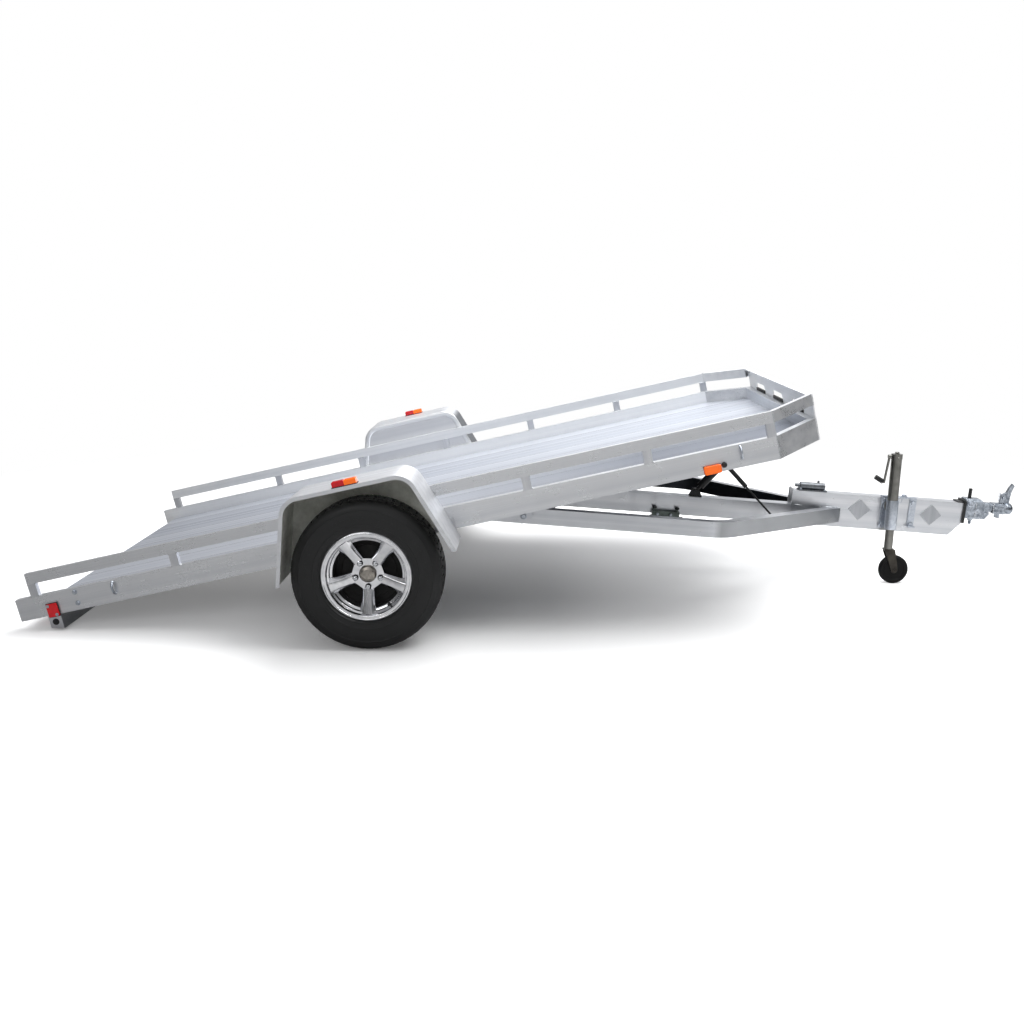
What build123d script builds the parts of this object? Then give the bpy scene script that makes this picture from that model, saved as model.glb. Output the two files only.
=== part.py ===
from build123d import *
import math
import os

# Single-axle aluminium tilt trailer, in millimetres.
# The bed, its fenders and the axle are one rigid frame, tilted back as for loading.
# The tongue is hinged under the bed and stands on its swivel jack.
# World frame: X forward, Y to the trailer's left, Z up, ground at Z = 0.
# Bed frame: origin at the wheel centre, X along the bed, Z square to the deck.
# Tongue frame: origin at the hinge pin, X along the tongue, Z square to it.

# ---- stance ----
BED_TILT = 12.7            # deck slope when tilted, degrees
TONGUE_DROP = 4.1          # nose-down slope of the tongue on its jack, degrees
TILT_TRAVEL = BED_TILT + TONGUE_DROP

# ---- bed ----
BED_HALF = 1015.0          # half width over the side rails
RAIL_REAR = -1652.0        # rear end of the side rails
CHAMFER_START = 1848.0     # where the front corners begin
BED_FRONT = 2081.0         # front face of the bed
FRONT_HALF = BED_HALF - 246.0      # half width of the front face
RAIL_BOTTOM = 74.0
RAIL_H = 102.0
RAIL_W = 38.0
RAIL_WALL = 3.2
TOP_GAP = 60.0             # open gap between side rail and top rail
TOP_H = 51.0
TOP_W = 25.4
TOP_REAR = -1574.0
POST_W = 38.0
POST_COUNT = 7
FIRST_BAY = 672.0          # rear bay is longer than the others
DECK_REAR = -1600.0
DECK_TOP = 112.0
PLANK_H = 26.0
PLANK_SKIN = 4.5
PLANK_LEG = 4.0
PLANK_COUNT = 10
PLANK_GAP = 1.0
CROSS_H = 50.0
CROSS_W = 50.0
CROSS_WALL = 3.2
CROSS_TAPER = 180.0        # length of the coped ends
PANEL_T = 6.0
SLOT_COUNT = 3             # hand slots in the front panel
SLOT_L = 240.0
SLOT_H = 58.0
SLOT_PITCH = 446.0
SLOT_HEIGHT = 192.0

# ---- rear light beam ----
BEAM_U0 = -1524.0
BEAM_W = 60.0
GROUND_GAP = 13.0          # the beam's foot stops this far above the ground
BEAM_WALL = 3.0
LAMP_T = 12.0
PLATE_T = 4.0
GROMMET_R = 15.0

# ---- wheels and axle ----
TYRE_R = 331.5
TYRE_W = 205.0
BEAD_R = 177.8             # 14 inch rim
FLANGE_R = 195.5
RIM_HALF = 88.0
WHEEL_Y = BED_HALF + 152.5
SPOKES = 5
LUG_PCD = 114.3
LUG_HOLE_R = 7.2
CENTRE_BORE_R = 35.0
AXLE_TUBE = 60.0
AXLE_U = 150.0
AXLE_W = 37.0
AXLE_WALL = 5.0
AXLE_PAD_L = 160.0
ARM_T = 34.0
ARM_Y = BED_HALF - 30.0
HUB_FACE_Y = WHEEL_Y - 7.5
SPINDLE_R = 17.5
DRUM_R = 136.0             # brake drum
DRUM_L = 78.0
RUN_CLEAR = 0.3            # running clearance at plain bearings

# ---- fenders ----
FENDER_Y0 = BED_HALF
FENDER_Y1 = BED_HALF + 274.0
FENDER_T = 3.0
FENDER_TOP = 405.0
FENDER_REAR_TIP = (-384.0, 40.0)
FENDER_FRONT_TIP = (407.0, 35.0)
FENDER_REAR_TOP = -268.0
FENDER_FRONT_TOP = 282.0
FENDER_R = 95.0
FENDER_LIP = 14.0
FENDER_LAMP_U = 14.0
FENDER_LAMP_L = 106.0

# ---- tongue ----
HINGE_U = 678.0
HINGE_W = -7.0
SPINE_W = 76.0
SPINE_H = 102.0
ARM_H = 76.0               # height of the A-frame rails
ARM_W = 51.0
ARM_HALF = 630.0           # rail centre line from the middle
ARM_REAR = -150.0
ARM_SLOPE = 41.0           # plan angle of the converging part, degrees
ARM_BEND_R = 190.0
TUBE_WALL = 4.8
STACK_REAR = 1415.0
STACK_FRONT = 2312.0
UPPER_H = 76.0
SPINE_REAR = 150.0
PIN_R = 9.5
EAR_T = 8.0
EAR_CLEAR = 5.0
DIAMOND = 77.0
LATCH_V = 138.0            # height of the latch bolt over the hinge line
LATCH_R = 9.0

# ---- coupler ----
BALL_R = 25.4              # 2 inch ball
BALL_T = 2552.0
BALL_V = 93.0
COUPLER_WALL = 9.0
COUPLER_UP = 45.0
COUPLER_DOWN = 62.0
NOSE_PLATE_T = 12.0

# ---- jack ----
JACK_T = 1920.0
JACK_Y = -97.0
JACK_PIVOT_V = 76.0
JACK_LEAN = 2.8            # the jack leans back this far from square, so it stands near plumb
JACK_TUBE_R = 27.0
JACK_TUBE_WALL = 4.0
JACK_CAP = 1.5             # the gear cap stands this far over the tube
JACK_TOP_V = 355.0
JACK_FOOT_V = -45.0
RAM_R = 22.2
FORK_TOP_V = -150.0
CRANK_R = 6.0
CASTER_R = 76.0
CASTER_W = 38.0
CASTER_TRAIL = 36.0

# ---- tilt damper and lift strut ----
DAMPER_FOOT = (905.0, 65.5)        # tongue frame
DAMPER_HEAD = (1950.0, 58.5)       # bed frame
DAMPER_Y = 0.0
DAMPER_R = 21.0
STRUT_FOOT = (1267.0, 10.0)        # tongue frame
STRUT_HEAD = (1660.0, 40.0)        # bed frame
STRUT_Y = -262.0
STRUT_R = 11.0
EYE_W = 14.0
VALVE_T = 667.0            # rear end of the tilt valve
VALVE_L = 176.0
HEAD_PLATE_T = 4.0
HEAD_PLATE_HALF = 105.0

TOP_BOTTOM = RAIL_BOTTOM + RAIL_H + TOP_GAP
TOP_TOP = TOP_BOTTOM + TOP_H
PLANK_BOTTOM = DECK_TOP - PLANK_H
CROSS_BOTTOM = PLANK_BOTTOM - CROSS_H

TILT_SIN = math.sin(math.radians(BED_TILT))
TILT_COS = math.cos(math.radians(BED_TILT))
DROP_SIN = math.sin(math.radians(TONGUE_DROP))
DROP_COS = math.cos(math.radians(TONGUE_DROP))


def bed_to_world(u, w):
    """World X and Z of a point of the bed's side view."""
    return u * TILT_COS - w * TILT_SIN, TYRE_R + u * TILT_SIN + w * TILT_COS


def tongue_to_world(t, v):
    """World X and Z of a point of the tongue's side view."""
    hinge_x, hinge_z = bed_to_world(HINGE_U, HINGE_W)
    return hinge_x + t * DROP_COS + v * DROP_SIN, hinge_z - t * DROP_SIN + v * DROP_COS


def world_to_tongue(x, z):
    """Tongue coordinates of a world point."""
    hinge_x, hinge_z = bed_to_world(HINGE_U, HINGE_W)
    dx = x - hinge_x
    dz = z - hinge_z
    return dx * DROP_COS - dz * DROP_SIN, dx * DROP_SIN + dz * DROP_COS


def beam_bottom(u):
    """Height in the bed frame at which the tail beam meets the ground gap."""
    return (GROUND_GAP - TYRE_R - u * TILT_SIN) / TILT_COS


REAR_X = bed_to_world(RAIL_REAR, RAIL_BOTTOM + RAIL_H)[0]
NOSE_X = tongue_to_world(BALL_T, BALL_V)[0] + BALL_R + COUPLER_WALL
CENTRE_X = (REAR_X + NOSE_X) / 2
ROW = Location((-CENTRE_X, 0, 0))
BED = ROW * Location((0, 0, TYRE_R), (0, -BED_TILT, 0))
HINGE_X, HINGE_Z = bed_to_world(HINGE_U, HINGE_W)
TONGUE = ROW * Location((HINGE_X, 0, HINGE_Z), (0, TONGUE_DROP, 0))

# The jack has its own straight frame, turned about its pivot on the tongue.
JACK_PIVOT = Location((JACK_T, 0, JACK_PIVOT_V))
JACK = TONGUE * JACK_PIVOT * Location((0, 0, 0), (0, -JACK_LEAN, 0)) * JACK_PIVOT.inverse()
JACK_SLOPE = math.radians(TONGUE_DROP - JACK_LEAN)


def jack_to_tongue(t, v):
    """Tongue coordinates of a point of the jack's own frame."""
    dt = t - JACK_T
    dv = v - JACK_PIVOT_V
    lean_sin = math.sin(math.radians(JACK_LEAN))
    lean_cos = math.cos(math.radians(JACK_LEAN))
    return JACK_T + dt * lean_cos - dv * lean_sin, JACK_PIVOT_V + dt * lean_sin + dv * lean_cos


# The caster wheel just stands on the ground below the jack.
CASTER_T = JACK_T + CASTER_TRAIL
PIVOT_Z = tongue_to_world(JACK_T, JACK_PIVOT_V)[1]
CASTER_V = JACK_PIVOT_V + (CASTER_R - PIVOT_Z + CASTER_TRAIL * math.sin(JACK_SLOPE)) / math.cos(JACK_SLOPE)


# ---- plain shapes ----
def block(x0, x1, y0, y1, z0, z1):
    """Box between two corners."""
    return Pos((x0 + x1) / 2, (y0 + y1) / 2, (z0 + z1) / 2) * Box(x1 - x0, y1 - y0, z1 - z0)


def side_prism(points, y0, y1):
    """Prism whose outline lies in the X-Z side view."""
    wire = Wire.make_polygon([Vector(x, y0, z) for x, z in points], close=True)
    return extrude(Face(wire), amount=y1 - y0, dir=(0, 1, 0))


def plan_prism(points, z0, z1):
    """Prism whose outline lies in the X-Y plan view."""
    wire = Wire.make_polygon([Vector(x, y, z0) for x, y in points], close=True)
    return extrude(Face(wire), amount=z1 - z0, dir=(0, 0, 1))


def rod_y(x, z, radius, y0, y1):
    """Round bar along Y."""
    return Pos(x, (y0 + y1) / 2, z) * Rot(90, 0, 0) * Cylinder(radius, y1 - y0)


def rod_z(x, y, radius, z0, z1):
    """Round bar along Z."""
    return Pos(x, y, (z0 + z1) / 2) * Cylinder(radius, z1 - z0)


def rod_between(a, b, radius):
    """Round bar between two points."""
    start = Vector(*a)
    axis = Vector(*b) - start
    return extrude(Plane(origin=start, z_dir=axis.normalized()) * Circle(radius), amount=axis.length)


def main_solid(shape):
    """The largest solid of a cut shape."""
    return max(shape.solids(), key=lambda solid: solid.volume)


def mirrored(shape):
    """The same shape on the other side of the trailer."""
    return mirror(shape, about=Plane.XZ)


def both_sides(shape):
    """A list with a shape and its mirror image."""
    return [shape, mirrored(shape)]


# ---- bed ----
def offset_corner(half, start, front, front_half, inset):
    """Corner points of the rail's plan line, moved inward by inset."""
    run = front - start
    rise = half - front_half
    length = math.hypot(run, rise)
    nx = -rise / length
    ny = -run / length
    px = start + nx * inset
    py = half + ny * inset
    slope = -rise / run
    corner_y = half - inset
    corner_x = px + (corner_y - py) / slope
    nose_x = front - inset
    nose_y = py + (nose_x - px) * slope
    return (corner_x, corner_y), (nose_x, nose_y)


def rail_corners(inset):
    return offset_corner(BED_HALF, CHAMFER_START, BED_FRONT, FRONT_HALF, inset)


def hollow_rail(outer, inner, width, wall, z0, z1):
    """Mitred rectangular tube between two outer and two inner plan points."""
    body = plan_prism([outer[0], outer[1], inner[1], inner[0]], z0, z1)
    ax, ay = outer[0]
    bx, by = outer[1]
    length = math.hypot(bx - ax, by - ay)
    dx = (bx - ax) / length
    dy = (by - ay) / length
    ix, iy = inner[0]
    side = (ix - ax) * -dy + (iy - ay) * dx
    nx = -dy if side > 0 else dy
    ny = dx if side > 0 else -dx
    reach = 2 * width
    p0 = (ax - dx * reach + nx * wall, ay - dy * reach + ny * wall)
    p1 = (bx + dx * reach + nx * wall, by + dy * reach + ny * wall)
    depth = width - 2 * wall
    p2 = (p1[0] + nx * depth, p1[1] + ny * depth)
    p3 = (p0[0] + nx * depth, p0[1] + ny * depth)
    return body - plan_prism([p0, p1, p2, p3], z0 + wall, z1 - wall)


def side_rail():
    """Left lower rail: a hollow extrusion with a small bead along its outer face."""
    corner_out = rail_corners(0)[0]
    corner_in = rail_corners(RAIL_W)[0]
    outer = [(RAIL_REAR, BED_HALF), corner_out]
    inner = [(RAIL_REAR, BED_HALF - RAIL_W), corner_in]
    return hollow_rail(outer, inner, RAIL_W, RAIL_WALL, RAIL_BOTTOM, RAIL_BOTTOM + RAIL_H)


def corner_rail():
    """Left chamfered corner of the lower frame."""
    corner_out, nose_out = rail_corners(0)
    corner_in, nose_in = rail_corners(RAIL_W)
    rail = hollow_rail([corner_out, nose_out], [corner_in, nose_in], RAIL_W, RAIL_WALL,
                       RAIL_BOTTOM, RAIL_BOTTOM + RAIL_H)
    return rail - block(BED_FRONT - PANEL_T, BED_FRONT + 1, 0, BED_HALF, 0, TOP_TOP)


def front_beam():
    """Lower cross beam between the two chamfered corners."""
    front = BED_FRONT - PANEL_T
    nose_out = rail_corners(PANEL_T)[1]
    nose_in = rail_corners(RAIL_W)[1]
    outer = [nose_out, (front, -nose_out[1])]
    inner = [nose_in, (nose_in[0], -nose_in[1])]
    beam = hollow_rail(outer, inner, RAIL_W - PANEL_T, RAIL_WALL, RAIL_BOTTOM, RAIL_BOTTOM + RAIL_H)
    return beam - latch_hole()


def top_rail():
    """Left top rail, mitred to its chamfered corner piece."""
    corner_out, nose_out = rail_corners(0)
    corner_in, nose_in = rail_corners(TOP_W)
    straight = hollow_rail([(TOP_REAR, BED_HALF), corner_out], [(TOP_REAR, BED_HALF - TOP_W), corner_in],
                           TOP_W, RAIL_WALL, TOP_BOTTOM, TOP_TOP)
    nose_out = (BED_FRONT - PANEL_T, rail_corners(0)[1][1] + PANEL_T * (BED_HALF - FRONT_HALF)
                / (BED_FRONT - CHAMFER_START))
    corner = hollow_rail([corner_out, nose_out], [corner_in, nose_in], TOP_W, RAIL_WALL, TOP_BOTTOM, TOP_TOP)
    return straight + corner


def post_places():
    """Bed positions of the posts between the lower rail and the top rail."""
    first = TOP_REAR + POST_W / 2
    last = CHAMFER_START - POST_W / 2
    pitch = (last - first - FIRST_BAY) / (POST_COUNT - 2)
    return [first] + [first + FIRST_BAY + pitch * i for i in range(POST_COUNT - 1)]


def side_posts():
    """Short upright tubes between the rails on the left."""
    posts = []
    for u in post_places():
        outer = block(u - POST_W / 2, u + POST_W / 2, BED_HALF - TOP_W, BED_HALF,
                      RAIL_BOTTOM + RAIL_H, TOP_BOTTOM)
        core = block(u - POST_W / 2 + RAIL_WALL, u + POST_W / 2 - RAIL_WALL,
                     BED_HALF - TOP_W + RAIL_WALL, BED_HALF - RAIL_WALL, RAIL_BOTTOM + RAIL_H, TOP_BOTTOM)
        posts.append(outer - core)
    return posts


def front_panel():
    """Flat sheet across the front with its hand slots and a folded top edge."""
    edge_y = FRONT_HALF + PANEL_T * (BED_HALF - FRONT_HALF) / (BED_FRONT - CHAMFER_START)
    sheet = plan_prism([(BED_FRONT, FRONT_HALF), (BED_FRONT, -FRONT_HALF),
                        (BED_FRONT - PANEL_T, -edge_y), (BED_FRONT - PANEL_T, edge_y)],
                       RAIL_BOTTOM, TOP_TOP)
    fold_y = rail_corners(TOP_W)[1][1]
    fold = block(BED_FRONT - TOP_W, BED_FRONT - PANEL_T, -fold_y, fold_y, TOP_TOP - PANEL_T, TOP_TOP)
    panel = sheet + fold
    slot_plane = Plane(origin=(BED_FRONT + 1, 0, SLOT_HEIGHT), x_dir=(0, 1, 0), z_dir=(1, 0, 0))
    for i in range(SLOT_COUNT):
        slot_y = (i - (SLOT_COUNT - 1) / 2) * SLOT_PITCH
        slot = slot_plane * Pos(slot_y, 0) * SlotOverall(SLOT_L, SLOT_H)
        panel -= extrude(slot, amount=-(PANEL_T + 2))
    return panel - latch_hole()


def latch_hole():
    """Hole in the bed's nose that the latch bolt enters when the bed is down."""
    return Pos(BED_FRONT, 0, LATCH_V + HINGE_W) * Rot(0, 90, 0) * Cylinder(LATCH_R + 1.5, 4 * PANEL_T)


def deck_outline():
    """Inside edge of the lower frame, where the planks are cut."""
    corner_in, nose_in = rail_corners(RAIL_W)
    left = [(DECK_REAR, BED_HALF - RAIL_W), corner_in, nose_in]
    return left + [(x, -y) for x, y in reversed(left)]


def deck_planks():
    """Ribbed aluminium planks that run the length of the bed."""
    area = plan_prism(deck_outline(), PLANK_BOTTOM - 1, DECK_TOP + 1)
    pitch = 2 * (BED_HALF - RAIL_W) / PLANK_COUNT
    width = pitch - PLANK_GAP
    nose = rail_corners(RAIL_W)[1][0]
    planks = []
    for i in range(PLANK_COUNT):
        y = -(BED_HALF - RAIL_W) + pitch * (i + 0.5)
        skin = block(DECK_REAR, nose, y - width / 2, y + width / 2, DECK_TOP - PLANK_SKIN, DECK_TOP)
        for place in (-0.5, -1 / 6, 1 / 6, 0.5):
            leg_y = y + place * (width - PLANK_LEG)
            skin += block(DECK_REAR, nose, leg_y - PLANK_LEG / 2, leg_y + PLANK_LEG / 2,
                          PLANK_BOTTOM, DECK_TOP - PLANK_SKIN)
        planks.append(skin & area)
    return planks


def cross_places():
    """Rear faces of the cross members, clear of the axle, hinge ears and damper."""
    return [-1180.0, -760.0, -340.0, AXLE_U + 130.0, HINGE_U + 12.0, HINGE_U + 400.0, HINGE_U + 792.0]


def cross_members():
    """Box cross members under the planks, with coped ends that rise to the side rails."""
    half = BED_HALF - RAIL_W
    members = []
    for u in cross_places():
        tube = block(u, u + CROSS_W, -half, half, CROSS_BOTTOM, PLANK_BOTTOM)
        tube -= block(u + CROSS_WALL, u + CROSS_W - CROSS_WALL, -half - 1, half + 1,
                      CROSS_BOTTOM + CROSS_WALL, PLANK_BOTTOM - CROSS_WALL)
        wedge_wire = Wire.make_polygon([Vector(u - 1, half + 1, CROSS_BOTTOM - 1),
                                        Vector(u - 1, half - CROSS_TAPER, CROSS_BOTTOM - 1),
                                        Vector(u - 1, half + 1, RAIL_BOTTOM)], close=True)
        wedge = extrude(Face(wedge_wire), amount=CROSS_W + 2, dir=(1, 0, 0))
        members.append(tube - wedge - mirrored(wedge))
    return members


# ---- rear light beam ----
def rear_beam():
    """Folded channel across the tail that carries the lights and rests on the ground."""
    half = BED_HALF
    below = side_prism(beam_outline(RAIL_BOTTOM, 0), -half, half)
    inside = block(BEAM_U0, BEAM_U0 + BEAM_W, -half + RAIL_W, half - RAIL_W, RAIL_BOTTOM, PLANK_BOTTOM)
    core = side_prism(beam_outline(RAIL_BOTTOM - BEAM_WALL, BEAM_WALL), -half - 1, half + 1)
    return below + inside - core


def beam_outline(top, inset):
    """Side outline of the beam, with a foot that lies level when the bed is tilted."""
    u0 = BEAM_U0 + inset
    u1 = BEAM_U0 + BEAM_W - inset
    return [(u0, top), (u1, top), (u1, beam_bottom(u1) + inset), (u0, beam_bottom(u0) + inset)]


def beam_end_plates():
    """Plates that close the beam's ends and carry the side lamps on the rails."""
    plate = side_prism(beam_outline(RAIL_BOTTOM + 64, 0), BED_HALF, BED_HALF + PLATE_T)
    hole = rod_y(BEAM_U0 + BEAM_W / 2, grommet_height(), GROMMET_R, BED_HALF - 1, BED_HALF + PLATE_T + 1)
    return both_sides(plate - hole)


def grommet_height():
    """Height of the grommets, midway down the beam's end."""
    return (beam_bottom(BEAM_U0 + BEAM_W / 2) + RAIL_BOTTOM) / 2


def grommets():
    """Rubber grommets in the end plates."""
    ring = rod_y(BEAM_U0 + BEAM_W / 2, grommet_height(), GROMMET_R, BED_HALF, BED_HALF + PLATE_T + 2)
    return both_sides(ring)


def rear_side_lamps():
    """Red rectangular lamps on the rear end plates."""
    lamp = block(BEAM_U0 + 10, BEAM_U0 + BEAM_W, BED_HALF + PLATE_T, BED_HALF + PLATE_T + LAMP_T,
                 RAIL_BOTTOM - 6, RAIL_BOTTOM + 56)
    lamp = fillet(lamp.edges().filter_by(Axis.Y), 6)
    lamp = chamfer(lamp.faces().sort_by(Axis.Y)[-1].edges(), 2)
    return both_sides(lamp)


def tail_lamps():
    """Oval tail lamps in the rear face of the beam."""
    centre = (beam_bottom(BEAM_U0) + RAIL_BOTTOM) / 2
    plane = Plane(origin=(BEAM_U0, BED_HALF - 190, centre), x_dir=(0, 1, 0), z_dir=(-1, 0, 0))
    lamp = extrude(plane * SlotOverall(165, 50), amount=LAMP_T)
    lamp = chamfer(lamp.faces().sort_by(Axis.X)[0].edges(), 3)
    return both_sides(lamp)


def front_side_lamps():
    """Amber lamps low on the side rails near the front."""
    u = CHAMFER_START - 297
    w = RAIL_BOTTOM + 19
    lamp = block(u - 38, u + 38, BED_HALF, BED_HALF + LAMP_T + 6, w - 20, w + 18)
    lamp = fillet(lamp.edges().filter_by(Axis.Y), 8)
    lamp = chamfer(lamp.faces().sort_by(Axis.Y)[-1].edges(), 3)
    return both_sides(lamp)


# ---- fenders ----
def fender():
    """Left fender: a folded sheet round the wheel, an inner wall and a lip on the outer edge."""
    outline = [FENDER_REAR_TIP, (FENDER_REAR_TOP, FENDER_TOP),
               (FENDER_FRONT_TOP, FENDER_TOP), FENDER_FRONT_TIP]
    solid = side_prism(outline, FENDER_Y0, FENDER_Y1)
    top_edges = solid.edges().filter_by(Axis.Y).sort_by(Axis.Z)[-2:]
    solid = fillet(top_edges, FENDER_R)
    skin = fender_shrunk(FENDER_T)
    mouth = fender_shrunk(FENDER_T + FENDER_LIP)
    inside = skin & block(-900, 900, FENDER_Y0 + FENDER_T, FENDER_Y1 - FENDER_T, -900, 900)
    opening = mouth & block(-900, 900, FENDER_Y0 + 2 * FENDER_T, FENDER_Y1 + 10, -900, 900)
    shell = solid - inside - opening
    inner_cut = fender_shrunk(FENDER_T) & block(-900, 900, FENDER_Y0 - 1, FENDER_Y0 + FENDER_T + 1,
                                                -900, RAIL_BOTTOM + 20)
    return shell - inner_cut


def fender_shrunk(inset):
    """The fender's side outline pulled in by inset and run out below."""
    rear_dx = FENDER_REAR_TOP - FENDER_REAR_TIP[0]
    rear_dz = FENDER_TOP - FENDER_REAR_TIP[1]
    front_dx = FENDER_FRONT_TIP[0] - FENDER_FRONT_TOP
    front_dz = FENDER_TOP - FENDER_FRONT_TIP[1]
    rear_shift = inset * math.hypot(rear_dx, rear_dz) / rear_dz
    front_shift = inset * math.hypot(front_dx, front_dz) / front_dz
    top = FENDER_TOP - inset
    low = -80.0

    def rear_x(z):
        return FENDER_REAR_TIP[0] + (z - FENDER_REAR_TIP[1]) * rear_dx / rear_dz + rear_shift

    def front_x(z):
        return FENDER_FRONT_TIP[0] - (z - FENDER_FRONT_TIP[1]) * front_dx / front_dz - front_shift

    points = [(rear_x(low), low), (rear_x(top), top), (front_x(top), top), (front_x(low), low)]
    solid = side_prism(points, FENDER_Y0 - 20, FENDER_Y1 + 20)
    top_edges = solid.edges().filter_by(Axis.Y).sort_by(Axis.Z)[-2:]
    return fillet(top_edges, FENDER_R - inset)


def fender_lamps(part):
    """Marker lamp on each fender: the rear half is red and the front half amber."""
    u0 = FENDER_LAMP_U - FENDER_LAMP_L / 2 if part == "red" else FENDER_LAMP_U
    u1 = u0 + FENDER_LAMP_L / 2 - 0.5
    lamp = block(u0, u1, FENDER_Y1 - 44, FENDER_Y1 - 8, FENDER_TOP, FENDER_TOP + 26)
    lamp = chamfer(lamp.faces().sort_by(Axis.Z)[-1].edges(), 4)
    return both_sides(lamp)


# ---- axle ----
def axle_tube():
    """Square tube of the rubber torsion axle."""
    half = ARM_Y - RUN_CLEAR
    w = AXLE_TUBE / 2
    tube = block(AXLE_U - w, AXLE_U + w, -half, half, AXLE_W - w, AXLE_W + w)
    tube = fillet(tube.edges().filter_by(Axis.Y), 8)
    core = w - AXLE_WALL
    return tube - block(AXLE_U - core, AXLE_U + core, -half - 1, half + 1, AXLE_W - core, AXLE_W + core)


def axle_brackets():
    """Pads and cheeks that hold the axle tube under the side rails."""
    top = AXLE_W + AXLE_TUBE / 2
    w = AXLE_TUBE / 2
    pad = block(AXLE_U - AXLE_PAD_L / 2, AXLE_U + AXLE_PAD_L / 2, BED_HALF - 85, BED_HALF - 10,
                top, RAIL_BOTTOM)
    for side in (-1, 1):
        cheek_u = AXLE_U + side * (w + 4)
        pad += block(cheek_u - 4, cheek_u + 4, BED_HALF - 85, BED_HALF - 40, AXLE_W - 12, top)
    return both_sides(pad)


def torsion_arm():
    """Left trailing arm with its boss, spindle eye and stub shaft."""
    boss = rod_y(AXLE_U, AXLE_W, AXLE_TUBE / 2 - 1, ARM_Y, ARM_Y + ARM_T)
    eye = rod_y(0, 0, 28, ARM_Y, ARM_Y + ARM_T)
    length = math.hypot(AXLE_U, AXLE_W)
    slope = math.degrees(math.atan2(AXLE_W, AXLE_U))
    web = Pos(AXLE_U / 2, ARM_Y + ARM_T / 2, AXLE_W / 2) * Rot(0, -slope, 0) * Box(length, ARM_T - 8, 48)
    spindle = rod_y(0, 0, SPINDLE_R, ARM_Y + ARM_T, HUB_FACE_Y - 4)
    stub = rod_y(AXLE_U, AXLE_W, 20, ARM_Y - 12, ARM_Y)
    return boss + eye + web + spindle + stub


# ---- wheels (built about the left wheel centre, Y pointing outward) ----
def revolve_y(points):
    """Ring turned about Y from a list of radius and width points."""
    wire = Wire.make_polygon([Vector(r, y, 0) for r, y in points], close=True)
    return revolve(Face(wire), Axis.Y, 360)


def tyre():
    """Tyre with rounded shoulders and a bead seat open to the rim."""
    half = TYRE_W / 2
    tread = 78.0
    wall = 12.0
    outer = [(BEAD_R + 0.3, RIM_HALF - 14.5), (FLANGE_R + 0.3, RIM_HALF - 7.5), (FLANGE_R + 5, RIM_HALF - 1),
             (218, half - 6), (250, half), (285, half - 3),
             (312, tread + 8), (TYRE_R - 6, tread - 6), (TYRE_R, tread - 30)]
    inner = [(TYRE_R - wall, 0), (TYRE_R - wall - 4, tread - 25), (285, half - 20), (250, half - wall),
             (215, RIM_HALF - 8), (BEAD_R + 0.3, RIM_HALF - 34)]
    loop = list(reversed(outer)) + list(reversed(inner))
    return revolve_y(loop + [(r, -y) for r, y in reversed(loop[1:-1])])


def rim_barrel():
    """Drop-centre barrel with its two flanges."""
    wall = 7.0
    outer = [(FLANGE_R, -RIM_HALF), (FLANGE_R, -RIM_HALF + 7), (BEAD_R, -RIM_HALF + 14),
             (BEAD_R - 1, -RIM_HALF + 34), (BEAD_R - 22, -RIM_HALF + 52), (BEAD_R - 22, 8),
             (BEAD_R - 1, 34), (BEAD_R, RIM_HALF - 14), (FLANGE_R, RIM_HALF - 7), (FLANGE_R, RIM_HALF)]
    inner = [(BEAD_R - wall + 4, RIM_HALF), (BEAD_R - wall - 1, RIM_HALF - 20), (BEAD_R - wall - 2, 36),
             (BEAD_R - 22 - wall, 6), (BEAD_R - 22 - wall, -RIM_HALF + 48), (BEAD_R - wall, -RIM_HALF + 30),
             (BEAD_R - wall + 4, -RIM_HALF)]
    return revolve_y(outer + inner)


def window_sketch():
    """One opening between two spokes, in the wheel's face plane."""
    inner_r = 72.0
    outer_r = 168.0
    inner_half = 18.5
    outer_half = 21.5
    inner_a = math.radians(180 / SPOKES) - math.asin(inner_half / inner_r)
    outer_a = math.radians(180 / SPOKES) - math.asin(outer_half / outer_r)

    def polar(radius, angle):
        return (radius * math.cos(angle), radius * math.sin(angle))

    outline = [Line(polar(inner_r, -inner_a), polar(outer_r, -outer_a)),
               ThreePointArc(polar(outer_r, -outer_a), polar(outer_r, 0), polar(outer_r, outer_a)),
               Line(polar(outer_r, outer_a), polar(inner_r, inner_a)),
               Line(polar(inner_r, inner_a), polar(inner_r, -inner_a))]
    window = make_face(Curve() + outline)
    return fillet(window.vertices(), 9.0)


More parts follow.
